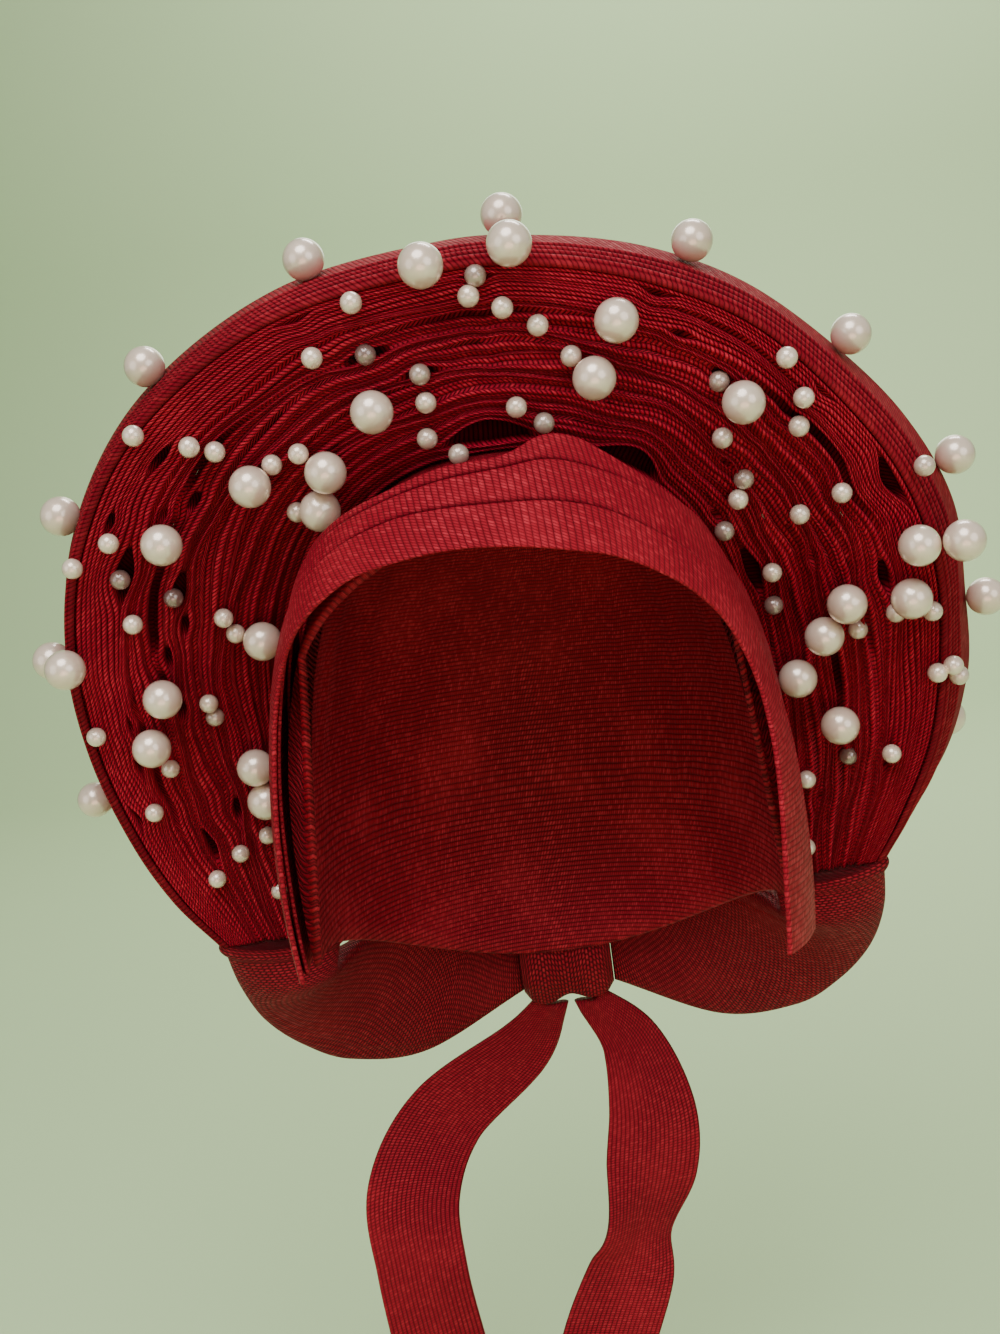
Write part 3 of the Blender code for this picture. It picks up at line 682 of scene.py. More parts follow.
def cloth(name, deep, body, light, cell, bump, edge, roughness=0.62):
    """Ribbed crimson cloth, darker and duller with painted shade where its painted-shade marks are
    high.
    Its stitch gaps get painted shade in the deep colour and its stitch tops the lit body colour.
    Random threads and soft patches lighten it towards the light colour, the threads partly as
    painted glints. cell is rib, stitch, slant, stagger and stitch depth; bump is its relief in
    metres; edge is the power that narrows the painted-lit top of each stitch."""
    material, tree, shader = new_material(name, CLOTH_LOOK)
    uv = tree.nodes.new("ShaderNodeUVMap")
    uv.uv_map = "weave"
    parts = tree.nodes.new("ShaderNodeSeparateXYZ")
    tree.links.new(uv.outputs[0], parts.inputs[0])
    woven = group_node(tree, WOVEN)
    tree.links.new(parts.outputs[0], woven.inputs["Along"])
    tree.links.new(parts.outputs[1], woven.inputs["Across"])
    for key, value in zip(CELL_KEYS, cell):
        woven.inputs[key].default_value = value
    height, thread = woven.outputs["Height"], woven.outputs["Thread"]
    patches = group_node(tree, PATCHES)
    painted_shade = painted_shade_marks(tree)
    # Painted shade between stitches: the tone runs from the deep colour in the gaps to the body
    # colour on the painted-lit stitch tops.
    raised = number(tree, "POWER", height, edge)
    tone = blend_colours(tree, raised, deep, body)
    # Random lighter threads on the stitch tops, partly random tone and partly painted glints, and
    # soft random patches lighten the tone towards the light colour.
    bright = number(tree, "MULTIPLY", number(tree, "POWER", thread, THREAD_POWER), raised)
    bright = number(tree, "MULTIPLY", bright, THREAD_LIGHT)
    drift = number(tree, "SUBTRACT", patches.outputs["Tone"], 0.5)
    bright = number(tree, "MULTIPLY_ADD", drift, PATCH_LIGHT, bright)
    tone = blend_colours(tree, number(tree, "MAXIMUM", bright, 0), tone, light)
    # Painted shade: where the marks are high, the tone goes towards a darker copy of the deep
    # colour.
    shade = tuple(PAINTED_SHADE_TONE * channel for channel in deep)
    tone = blend_colours(tree, number(tree, "MULTIPLY", painted_shade, PAINTED_SHADE_SHARE), tone, shade)
    tree.links.new(tone, shader.inputs["Base Color"])
    rough = number(tree, "MULTIPLY_ADD", thread, THREAD_ROUGHNESS, roughness + ROUGHNESS_RISE)
    rough = number(tree, "MULTIPLY_ADD", raised, RAISED_ROUGHNESS, rough)
    tree.links.new(rough, shader.inputs["Roughness"])
    gloss = number(tree, "MULTIPLY_ADD", painted_shade, PAINTED_SHADE_SPECULAR, SPECULAR)
    tree.links.new(gloss, shader.inputs["Specular IOR Level"])
    height = number(tree, "MULTIPLY_ADD", patches.outputs["Fuzz"], FUZZ_RELIEF, height)
    add_relief(tree, shader, height, bump)
    return material


# Crimson tones: the deep tones are painted-shade copies used in the gaps between stitches and in
# painted hollows; the body tones are the lit stitch tops; the light tones are what random threads
# (partly painted glints) and patches lighten to.
SHADED_CRIMSON = (0.075, 0.0014, 0.0055)
BODY = (0.385, 0.0054, 0.0240)
LIGHT = (0.640, 0.0240, 0.0500)
BAND_SHADED_CRIMSON = (0.095, 0.0017, 0.0062)
BAND_BODY = (0.290, 0.0052, 0.0170)
BAND_LIGHT = (0.540, 0.0260, 0.0460)
STRIP_LIGHT = (0.440, 0.0180, 0.0320)
BAND_CELL = (0.00165, 0.00095, 0.35, 0.5, 0.75)
STRIP_CELL = (0.0015, 0.0026, 0.0, 0.0, 0.25)
FOLD_CELL = (0.00142, 0.0026, 0.0, 0.0, 0.25)
BASKET_CELL = (0.0013, 0.0021, 0.0, 0.5, 0.80)

band_cloth = cloth("band_cloth", BAND_SHADED_CRIMSON, BAND_BODY, BAND_LIGHT, BAND_CELL, 0.00024, 1.7)
pleat_cloth = cloth("pleat_cloth", SHADED_CRIMSON, BODY, LIGHT, FOLD_CELL, 0.00062, 2.8)
strip_cloth = cloth("strip_cloth", SHADED_CRIMSON, BAND_BODY, STRIP_LIGHT, STRIP_CELL, 0.00030, 2.0, 0.72)
wrap_cloth = cloth("wrap_cloth", SHADED_CRIMSON, BAND_BODY, STRIP_LIGHT, BASKET_CELL, 0.00090, 3.4)
tie_cloth = cloth("tie_cloth", SHADED_CRIMSON, BAND_BODY, STRIP_LIGHT, BAND_CELL, 0.00034, 2.6)
crown_cloth = cloth("crown_cloth", SHADED_CRIMSON, BAND_BODY, BAND_LIGHT, BAND_CELL, 0.00030, 2.6)


# Look of the pearls
PEARL_LOOK = (
    ("Metallic", 0.3), ("Coat Weight", 1.0), ("Coat Roughness", 0.11), ("Coat IOR", 1.7),
    ("Specular IOR Level", 0.6),
)
PEARL_DEEP = (0.74, 0.55, 0.42)
PEARL_PALE = (0.86, 0.72, 0.60)
PEARL_PAINTED_SHADE = (0.22, 0.13, 0.12)
PEARL_PATCH = 0.006
PEARL_ROUGHNESS = 0.26
PEARL_FUZZ = 0.08
PEARL_RELIEF = 0.00003


def pearl_finish():
    """Moulded pearl: creamy body whose tone drifts, under a clear hard coat. Where its
    painted-shade marks are high, painted shade makes it dull and grey."""
    material, tree, shader = new_material("pearl_finish", PEARL_LOOK)
    patches = group_node(tree, PATCHES)
    patches.inputs["Patch Size"].default_value = PEARL_PATCH
    tone = blend_colours(tree, patches.outputs["Tone"], PEARL_DEEP, PEARL_PALE)
    # Painted shade: sunk pearls go towards a dull dark grey-brown.
    tone = blend_colours(tree, painted_shade_marks(tree), tone, PEARL_PAINTED_SHADE)
    tree.links.new(tone, shader.inputs["Base Color"])
    rough = number(tree, "MULTIPLY_ADD", patches.outputs["Fuzz"], PEARL_FUZZ, PEARL_ROUGHNESS)
    tree.links.new(rough, shader.inputs["Roughness"])
    add_relief(tree, shader, patches.outputs["Tone"], PEARL_RELIEF)
    return material


pearl_coat = pearl_finish()


# Brow band

def section_between(low, high, rows, radius):
    """Way round a flat wall with half-round edges, as shares across it and a side from -1 to 1.
    low and high are the edges' shares, radius the half-round's own share, one value a column."""
    rise = (0.5 - 0.5 * np.cos(np.pi * np.linspace(0, 1, rows)))[:, None]
    turn = np.radians(np.linspace(90, -90, EDGE_ROWS + 2)[1:-1, None])
    face = (low + radius) + (high - low - 2 * radius) * rise
    top = (high - radius) + radius * np.cos(turn)
    foot = (low + radius) - radius * np.cos(turn)
    shares = np.concatenate([face, top, face[::-1], foot[::-1]])
    front = np.concatenate([np.ones((rows, 1)), np.sin(turn)])
    return shares, np.concatenate([front, -front])


def band_tier(name, node, layer, low, high, cover, table):
    """One folded tier: the brow form between two shares of the band, a wall thick, with a rolled
    fold at both edges, a slow swell, and a lip at its upper edge. The lip and the painted shadow
    line where the tier in front of it ends are Gaussians of the distance from those edges."""
    angle_run = table["top_angle"] - table["low_angle"]
    height_run = (table["top_height"] - table["low_height"]) * HEAD_HEIGHT
    low_height = table["low_height"] * HEAD_HEIGHT
    foot = brow_point(table["low_angle"], low_height, 0.0)
    head = brow_point(table["top_angle"], low_height + height_run, 0.0)
    width = np.linalg.norm(head - foot, axis=1)
    shares, sides = section_between(low, high, TIER_ROWS, TIER_WALL / 2 / width)
    middle = GAP + layer * (TIER_WALL + GAP) + TIER_WALL / 2
    way = way_along((foot + head) / 2)
    wave = TIER_WAVE * TIER_WALL
    for length, shift in TIER_WAVES:
        wave = wave * np.sin(way / length + shift * layer)
    across = np.clip((shares - low) / (high - low), 0, 1)
    swell = np.sin(np.pi * across) * TIER_SWELL * TIER_WALL
    lip = LIP_RISE * np.exp(-((high - shares) * width / LIP_REACH) ** 2)
    lift = middle + sides * TIER_WALL / 2 + wave + swell + lip
    angles = table["low_angle"] + angle_run * shares
    rings = brow_point(angles, low_height + height_run * shares, lift)
    across = np.concatenate([shares, shares[:1]]) * width
    across = across + TIER_WEAVE_SHIFT * layer
    weave = np.stack([np.broadcast_to(way, across.shape), across], axis=-1)
    # Painted shadow: a dark line on the tier's front just above where the tier in front of it ends.
    past = np.maximum((shares - cover) * width, 0)
    marks = np.exp(-(past / COVER_SHADE) ** 2) * (sides > 0)
    piece = shell(name, rings, weave, band_cloth, marks)
    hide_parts(node)


def build_band():
    """The three tiers, each tucked behind the one below it."""
    table = stations(BAND_COLUMNS)
    first, second = table["fold_1"], table["fold_2"]
    none, whole = np.zeros(BAND_COLUMNS), np.ones(BAND_COLUMNS)
    for tier, layer, low, high, cover in (
        ("lower", 2, none, first, none - 1),
        ("middle", 1, first - TIER_OVERLAP, second, first),
        ("upper", 0, second - TIER_OVERLAP, whole, second),
    ):
        band_tier(f"{tier}_tier_cloth", f"brow_band_{tier}_tier", layer, low, high, cover, table)


# Fan

def nearest_place(grid, p, q):
    """Row and column of the grid point nearest to a place on the fan's plane."""
    flat = grid - ORIGIN
    away = (flat @ ACROSS - p) ** 2 + (flat @ UP - q) ** 2
    return np.unravel_index(np.argmin(away), away.shape)


def fold_places(seat, rim):
    """How far each fold's crest lies from the seat, and how deep it is set, one row a fold.

    A fold starts at its own share of its group's part of the way from seat to rim. It sways as
    three sine waves of the way along it. Each opening pushes the folds on either side away, by its
    half width, an ease along its half length and the square of 1 minus the distance over
    OPENING_REACH half widths. Folds keep LEAST_PITCH of their pitch between them.
    """
    run = rim - seat
    span = np.linalg.norm(run, axis=1)
    ends = np.cumsum([0, INNER_PLEATS, MIDDLE_PLEATS, OUTER_PLEATS]) / PLEATS
    groups = zip(ends, ends[1:], (INNER_STEPS, MIDDLE_STEPS, OUTER_STEPS))
    share = np.concatenate([
        low + (high - low) * np.cumsum(steps)[:-1] / sum(steps) for low, high, steps in groups
    ])[:, None]
    base = seat + share[:, :, None] * run
    way = way_along(base)
    partings = (share[1:] + share[:-1]) / 2
    grid = seat + partings[:, :, None] * run
    grid_way = way_along(grid)
    row = np.arange(FOLDS)[:, None]
    loose = np.sin(np.pi * np.clip(LOOSE_START * (1 - share), 0, 1))
    loose = loose * np.minimum(1, span / LOOSE_SPAN)
    sway = 0
    for reach, length, shift, start in FOLD_SWAYS:
        sway = sway + reach * np.sin(way / length + shift * row + start)
    place = share * span + sway * loose
    for across, up, length, width in OPENINGS:
        line, column = nearest_place(grid, across * FAN_HALF_WIDTH, up * FAN_HEIGHT)
        along = np.abs(grid_way[line] - grid_way[line, column])
        away = (share - partings[line]) * span
        half = width * PLEAT_DEPTH
        fade = 1 - np.abs(away) / max(OPENING_REACH * half, PLEAT_DEPTH)
        fade = np.clip(fade, 0, 1) ** 2 * ease(1 - along / (length * PLEAT_DEPTH))
        place = place + np.sign(away) * half * fade
    pitch = np.diff(share, axis=0) * span
    steps = np.maximum(np.diff(place, axis=0), LEAST_PITCH * pitch)
    first = np.maximum(place[:1], FIRST_PITCH * pitch[:1])
    place = np.concatenate([first, first + np.cumsum(steps, axis=0)])
    place = place / np.maximum(place[-1:] / (span - LEAST_PITCH * pitch[-1:]), 1)
    reach, length, shift = SET_BACK_SWAY
    set_back = SET_BACK + reach * np.sin(way / length + shift * row)
    set_back = set_back + SET_BACK_BELLY * np.sin(np.pi * share)
    set_back = set_back * (1 - RIM_FLATTENING * ease((share - RIM_SHARE) / RIM_RUN))
    return place, set_back


def crown_tuck(base, direction):
    """How far points go back along a direction before they lie SEAT_TUCK inside the crown, where
    the sum of the powers of x, y and z over its half sizes falls below 1; TUCK_REACH at most."""
    half = np.array([HEAD_HALF_WIDTH, HEAD_HALF_LENGTH, HEAD_HEIGHT]) - SEAT_TUCK
    steps = np.linspace(0, TUCK_REACH, TUCK_STEPS)
    places = base - steps[:, None, None] * direction
    inside = np.sum(np.abs(places / half) ** HEAD_ROUNDNESS, axis=-1) <= 1
    return np.where(inside.any(axis=0), steps[inside.argmax(axis=0)], TUCK_REACH)


def fold_points(place, set_back, first, last, span):
    """Section of the folds from first to last: a half-round crest, straight sides and a floor
    between folds. The floor's depth is FLAT_DEPTH, a share of the free width and another share of
    what that width has over OPEN_WIDTH. In the weave map a fold is two stitches wide."""
    wide = np.concatenate([2 * place[:1], np.diff(place, axis=0), 2 * (span - place[-1:])])
    radius = np.minimum(FOLD_RADIUS, CREST_SHARE * np.minimum(wide[:-1], wide[1:]))
    free = np.maximum(wide[1:-1] - radius[:-1] - radius[1:], 0)
    floor = FLAT_DEPTH + FREE_SLOPE * free + OPEN_SLOPE * np.maximum(free - OPEN_WIDTH, 0)
    rim_floor = np.full_like(place[:1], EDGE_FLOOR * VALLEY_DEPTH)
    seat_floor = rim_floor + OPEN_SLOPE * np.maximum(place[:1] - radius[:1], 0)
    floor = np.minimum(VALLEY_DEPTH, np.concatenate([seat_floor, floor, rim_floor]))
    turn = np.radians(np.linspace(-90, 90, CREST_ROWS))[None, :, None]
    middle, size, back = (part[first:last, None] for part in (place, radius, set_back))
    low, high = floor[first:last, None], floor[first + 1:last + 1, None]
    side = CREST_SIDE * size
    across = np.concatenate([middle - side, middle + size * np.sin(turn), middle + side], axis=1)
    depth = np.concatenate([low, back + size * (1 - np.cos(turn)), high], axis=1)
    crest = FOLD_RADIUS * np.linspace(-CREST_WEAVE, CREST_WEAVE, CREST_ROWS)
    profile = np.concatenate([[-SIDE_WEAVE], crest, [SIDE_WEAVE]])
    order = (2 * np.arange(first, last) + 0.5)[:, None] * FOLD_CELL[1]
    weave_across = np.broadcast_to((order + profile)[:, :, None], across.shape)
    weave_slant = np.broadcast_to((WEAVE_SLANT * profile)[None, :, None], across.shape)
    parts = (across, depth, weave_across, weave_slant)
    return (*(part.reshape(-1, across.shape[2]) for part in parts), floor[first], floor[last])


def pleat_group(name, node, first, last, place, set_back, seat, rim, flare):
    """The folds from first to last as one shell: crests and valleys in front, and behind them a
    ridge under each valley, one pleat's depth back. The outermost group's end leans with the
    strip beside it, and the innermost one's is tucked into the crown."""
    run = rim - seat
    span = np.linalg.norm(run, axis=1)
    direction = run / span[:, None]
    bounds = np.concatenate([np.zeros((1, COLUMNS)), (place[1:] + place[:-1]) / 2, span[None]])
    across, depth, weave_across, weave_slant, low_floor, high_floor = fold_points(
        place, set_back, first, last, span)
    start = bounds[first] + LINE_GAP
    end = bounds[last] + GAP * (last == FOLDS) - LINE_GAP
    lean = np.tan(np.radians(np.maximum(flare, 0))) * (last == FOLDS)
    rear_start = start
    if first == 0:
        rear_start = -crown_tuck(seat + PLEAT_DEPTH * BACK, direction)
        start = -crown_tuck(seat + low_floor[:, None] * BACK, direction)
    steps = np.linspace(1, 0, 2 * (last - first) + 1)[:, None]
    rear_across = rear_start + (end + PLEAT_DEPTH * lean - rear_start) * steps
    rear_depth = PLEAT_DEPTH - REAR_RELIEF * np.abs(np.sin(np.pi * steps * (last - first)))
    across = np.concatenate([start[None], across, (end + high_floor * lean)[None], rear_across])
    depth = np.concatenate([low_floor[None], depth, high_floor[None], rear_depth + 0 * rear_across])
    rings = seat + across[:, :, None] * direction + depth[:, :, None] * BACK
    spare = len(rear_across)
    rear_width = span.mean() * (last - first) / FOLDS
    rear_weave = np.linspace(0, rear_width, spare + 1)[:, None] + 0 * span
    weave_across = np.concatenate([
        weave_across[:1] - END_WEAVE, weave_across, weave_across[-1:] + END_WEAVE, rear_weave])
    weave_slant = np.concatenate([weave_slant[:1], weave_slant, weave_slant[-1:], 0 * rear_weave])
    crest_way = way_along(rings[2 + CREST_ROWS // 2:len(rings) - spare:FOLD_ROWS])
    middle_way = np.broadcast_to(crest_way.mean(axis=0), rear_weave.shape)
    front_way = np.repeat(crest_way, FOLD_ROWS, axis=0)
    along = np.concatenate([crest_way[:1], front_way, crest_way[-1:], middle_way])
    weave = np.stack([along + weave_slant, weave_across], axis=-1)
    # Painted shade: the deeper a point lies in a valley or opening, the darker it is painted; none
    # on the rear.
    marks = np.clip((depth - SHADE_START) / (SHADE_RUN * VALLEY_DEPTH), 0, 1)
    marks[len(rings) - spare:] = 0
    piece = shell(name, rings, weave, pleat_cloth, marks)
    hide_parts(node)


def build_strip(seat, rim, table):
    """The last layer of the fan: a wall from the outermost pleat straight back for one pleat's
    depth, then leaning out by its flare. Half-round cords run along its front part, and its back
    part is smooth. Its flanks get painted shade, darker than its top, and so does the foot of each
    cord."""
    outward = unit(rim - seat)
    flare = np.radians(table["flare"])[:, None]
    beside = BACK + np.tan(np.maximum(flare, 0)) * outward
    behind = np.cos(flare) * BACK + np.sin(flare) * outward
    turn = np.radians(np.linspace(-90, 90, CORD_ROWS))
    cords = np.add.outer(np.multiply(STRIP_CORDS, STRIP_DEPTH), STRIP_CORD * np.sin(turn)).ravel()
    rises = np.tile(STRIP_CORD * np.cos(turn), len(STRIP_CORDS))
    smooth = np.linspace(STRIP_SMOOTH, 1.0, STRIP_ROWS) * STRIP_DEPTH
    inside = np.linspace(1.0, 0.0, STRIP_ROWS) * STRIP_DEPTH
    way = np.concatenate([[0.0], cords, smooth, inside])[:, None] * table["reach"]
    lift = STRIP_WALL + np.concatenate([rises, 0 * smooth, 0 * inside - STRIP_WALL])
    lift = np.concatenate([[STRIP_WALL * STRIP_EDGE], lift])[:, None, None]
    first = np.minimum(way, PLEAT_DEPTH)[:, :, None]
    rest = np.maximum(way - PLEAT_DEPTH, 0)[:, :, None]
    rings = rim + outward * (GAP + lift) + first * beside + rest * behind
    along = way_along(rim)
    across = np.concatenate([way, way[:1]])
    twist = CORD_TWIST * np.concatenate([lift, lift[:1]])[:, :, 0]
    weave = np.stack([along + twist + STRIP_TWIST * across, across], axis=-1)
    # Painted shade on the flanks outside the lit span of rim_p, and at the foot of each cord.
    (start, start_run), (end, end_run) = STRIP_LIT_FROM, STRIP_LIT_TO
    lit = ease((table["rim_p"] - start) / start_run) * ease((end - table["rim_p"]) / end_run)
    foot = np.tile(1 - np.cos(turn), len(STRIP_CORDS))
    foot = np.concatenate([[0.0], foot, 0 * smooth, 0 * inside])
    marks = np.maximum(STRIP_SHADE * (1 - lit), CORD_SHADE * foot[:, None] ** 2)
    piece = shell("outer_strip_cloth", rings, weave, strip_cloth, marks)
    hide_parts("fan_outer_strip")


def build_fan():
    """The three groups of pleats and the strip round them; gives each crest's points."""
    table = stations(COLUMNS)
    seat, rim = seat_and_rim(table)
    place, set_back = fold_places(seat, rim)
    edges = (0, INNER_FOLDS, INNER_FOLDS + MIDDLE_FOLDS, FOLDS)
    flare = table["flare"]
    for group, first, last in zip(("inner", "middle", "outer"), edges, edges[1:]):
        name, node = f"{group}_pleat_folds", f"{group}_pleats"
        pleat_group(name, node, first, last, place, set_back, seat, rim, flare)
    build_strip(seat, rim, table)
    direction = unit(rim - seat)
    return seat + place[:, :, None] * direction + set_back[:, :, None] * BACK


# Crown, wraps, knot and ties

def build_crown():
    """Dome over the crown: the head's form and a wall inside it, with soft folds that run down to
    the nape, each a high power of a cosine of the angle round the head."""
    columns, rows = CROWN_COLUMNS, CROWN_ROWS
    share = HEAD_ROUNDNESS / 2
    angles = (np.arange(columns) + 0.5) * 360 / columns
    away = np.minimum(angles, 360 - angles)
    front = CAP_FRONT_RISE * np.cos(np.radians(away) * CAP_FRONT_FALL)
    behind = (away - CAP_FRONT_ANGLE) / (180 - CAP_FRONT_ANGLE)
    fall = 0.5 - 0.5 * np.cos(np.pi * behind)
    side = -CAP_SIDE_DROP - (CAP_NAPE_DROP - CAP_SIDE_DROP) * fall
    edge = np.where(away < CAP_FRONT_ANGLE, front, side)
    foot = np.degrees(np.arcsin(signed_power(edge / HEAD_HEIGHT, share)))
    rise = np.linspace(0, CROWN_TOP, rows)[:, None]
    elevation = foot + (90 - foot) * rise
    turns = np.broadcast_to(angles, elevation.shape)
    bend = CREASE_BEND * np.sin(elevation / CREASE_BEND_DEGREES)
    creases = np.abs(np.cos(np.radians(turns) * CROWN_CREASES + bend)) ** CREASE_POWER
    dent = CROWN_CREASE * creases * np.sin(np.pi * rise) * (away > CAP_FRONT_ANGLE)
    outer = head_point(turns, elevation, -dent)
    inner = head_point(turns, elevation, -CAP_WALL - dent)
    points = np.concatenate([outer.reshape(-1, 3), inner.reshape(-1, 3)])
    top = rows - 1
    column = np.arange(columns)
    after = np.roll(column, -1)
    skin = belt_faces(top, columns)
    count = rows * columns
    lining = skin[:, ::-1] + count
    rim = np.stack([after, column, count + column, count + after], axis=-1)
    quads = np.concatenate([skin, lining, rim])
    round_way = np.radians(turns) * HEAD_HALF_LENGTH
    up_way = np.radians(elevation) * HEAD_HEIGHT
    flat = np.stack([up_way, round_way], axis=-1).reshape(-1, 2)
    flat = np.concatenate([flat, flat])
    corners = flat[quads]
    half_round = HEAD_HALF_LENGTH * math.pi
    seam = np.ptp(corners[:, :, 1], axis=1) > half_round
    turned = corners[:, :, 1] < half_round
    corners[:, :, 1] += np.where(seam[:, None] & turned, 2 * half_round, 0)
    crown = (top * columns + column).tolist()
    faces = quads.tolist() + [crown, [count + k for k in crown[::-1]]]
    corners = np.concatenate([corners.reshape(-1, 2), flat[crown], flat[crown[::-1]]])
    piece = make_piece("crown_cloth", points, faces, crown_cloth, corners)
    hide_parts("crown_cap")


def build_wrap(name, node, side, seat_end, rim_end, knot):
    """Cloth wound round the gathered pleats: ellipses carried down the wrap table to the knot,
    pressed in along three shallow creases, with a rolled hem round a dished mouth."""
    mouth = (seat_end + rim_end) / 2
    wide = (rim_end - seat_end) / 2
    half = np.linalg.norm(wide)
    down = np.cross(BACK, wide / half) * side
    centre = mouth + BACK * PLEAT_DEPTH / 2 + down * GAP
    wide = wide * (1 + WRAP_MOUTH_MARGIN / half)
    rows = np.array(WRAP_ROWS)
    mirror = np.array([side, 1, 1])
    outer = centre + rows[:, 0:3] * WRAP_WIDTH * mirror
    inner = centre + rows[:, 3:6] * WRAP_WIDTH * mirror
    end = knot + np.array([side * (KNOT_HALF_WIDTH + GAP), 0, 0])
    rise = np.array([0, 0, WRAP_END_WIDTH / 2])
    outer = np.vstack([centre + wide, outer, end - rise])
    inner = np.vstack([centre - wide, inner, end + rise])
    thick = np.concatenate([[1.0], rows[:, 6], [WRAP_END_SHARE]])
    centres = (outer + inner) / 2
    wides = (outer - inner) / 2
    path = np.gradient(centres, axis=0)
    path[-1] = [-side, 0, 0]
    depth = unit(np.cross(path, wides))
    depth[0] = BACK * np.sign(depth[0] @ BACK)
    table = np.hstack([centres, wides, depth * (thick * WRAP_MOUTH_THICKNESS / 2)[:, None]])
    columns, dish, around = WRAP_COLUMNS, 8, 72
    places = np.linspace(0, 1, columns - dish) ** WRAP_SPACING * (len(table) - 1)
    places = np.concatenate([np.zeros(dish), places])
    middle = smooth_rows(table, places)
    turns = np.radians(np.arange(around) * 360 / around)
    here = places / (len(table) - 1)
    way = way_along(middle[:, 0:3])
    shrink = np.concatenate([np.linspace(DISH_FROM, DISH_TO, dish), np.ones(columns - dish)])
    hem = HEM_SWELL * np.sin(np.pi * np.clip(way / HEM_REACH, 0, 1))
    hem = 1 + hem * (np.arange(columns) >= dish)
    inward = unit(middle[dish + 4, 0:3] - middle[dish, 0:3])
    press = 1 + 0 * np.outer(turns, here)
    for start, drift, depth_share in WRAP_CREASES:
        away = np.angle(np.exp(1j * (turns[:, None] - start - drift * here)))
        crease = np.exp(-(away / WRAP_CREASE_WIDTH) ** 2) * ease(here * WRAP_CREASE_START)
        press -= depth_share * crease
    press = press * shrink * hem
    rings = (
        (middle[:, 0:3] + ((1 - shrink**2) * WRAP_DISH)[:, None] * inward)[None]
        + middle[None, :, 3:6] * (np.cos(turns)[:, None] * press)[:, :, None]
        + middle[None, :, 6:9] * (np.sin(turns)[:, None] * press)[:, :, None]
    )
    # Painted shade inside the dished mouth.
    marks = np.broadcast_to(MOUTH_SHADE * (shrink < 1), (around, columns))
    piece = shell(name, rings, rolled_weave(rings), wrap_cloth, marks)
    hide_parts(node)


def build_knot(knot):
    """Pinched roll of cloth: a waisted profile along X round an ellipse, with folds that fan out
    from the waist as a sine of the angle round it."""
    columns, around = KNOT_COLUMNS, 84
    x, size = smooth_rows(KNOT_PROFILE, np.linspace(0, len(KNOT_PROFILE) - 1, columns)).T
    turns = np.radians(np.arange(around) * 360 / around)[:, None]
    folds = 0.5 + 0.5 * np.sin(turns * KNOT_FOLDS + KNOT_TWIST * x)
    size = size * (1 - KNOT_FOLD * folds * (KNOT_WAIST + (1 - KNOT_WAIST) * np.abs(x)))
    rings = knot + np.stack([
        x * KNOT_HALF_WIDTH + 0 * size,
        size * KNOT_HALF_DEPTH * np.cos(turns),
        size * KNOT_HALF_HEIGHT * np.sin(turns),
    ], axis=-1)
    piece = shell("nape_knot_cloth", rings, rolled_weave(rings), wrap_cloth)
    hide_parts("nape_knot")


def build_tie(name, node, rows, knot):
    """Flat tie from the knot's foot: a wall with round edges carried down the tie table, with a
    shallow gutter along its middle where it is drawn together."""
    top = knot - np.array([0, 0, KNOT_HALF_HEIGHT + GAP])
    columns = TIE_COLUMNS
    x, y, drop, width, wall, turn = smooth_rows(rows, np.linspace(0, len(rows) - 1, columns)).T
    centres = top + np.stack([x * TIE_WIDTH, y * TIE_WIDTH, -drop * TIE_DROP], axis=1)
    path = np.gradient(centres, axis=0)
    path[0] = [0, 0, -1]
    path = unit(path)
    across = unit(np.cross(path, [0.0, 1.0, 0.0]))
    facing = np.cross(across, path)
    turn = np.radians(turn)[:, None]
    wide = (across * np.cos(turn) + facing * np.sin(turn)) * (width * TIE_WIDTH / 2)[:, None]
    face = facing * np.cos(turn) - across * np.sin(turn)
    thick = face * (wall * TIE_WALL / 2)[:, None]
    radius = wall * TIE_WALL / 2 / (width * TIE_WIDTH)
    shares, sides = section_between(np.zeros(columns), np.ones(columns), TIE_ROWS, radius)
    ripple = TIE_RIPPLE * np.sin(shares * TIE_RIPPLES_ACROSS + TIE_RIPPLES_ALONG * drop)
    ripple = ripple * np.sin(np.pi * np.clip(shares, 0, 1)) * (TIE_TAUT_WIDTH - width)
    rings = (
        centres + (2 * shares - 1)[:, :, None] * wide + sides[:, :, None] * thick
        + ripple[:, :, None] * face
    )
    along = way_along(centres)
    spread = np.concatenate([shares, shares[:1]]) * TIE_WIDTH
    weave = np.stack([spread, np.broadcast_to(along, spread.shape)], axis=-1)
    piece = shell(name, rings, weave, tie_cloth)
    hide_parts(node)


# Pearls

def box_middle(name):
    low, high = (np.array(corner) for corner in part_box(name))
    return (low + high) / 2


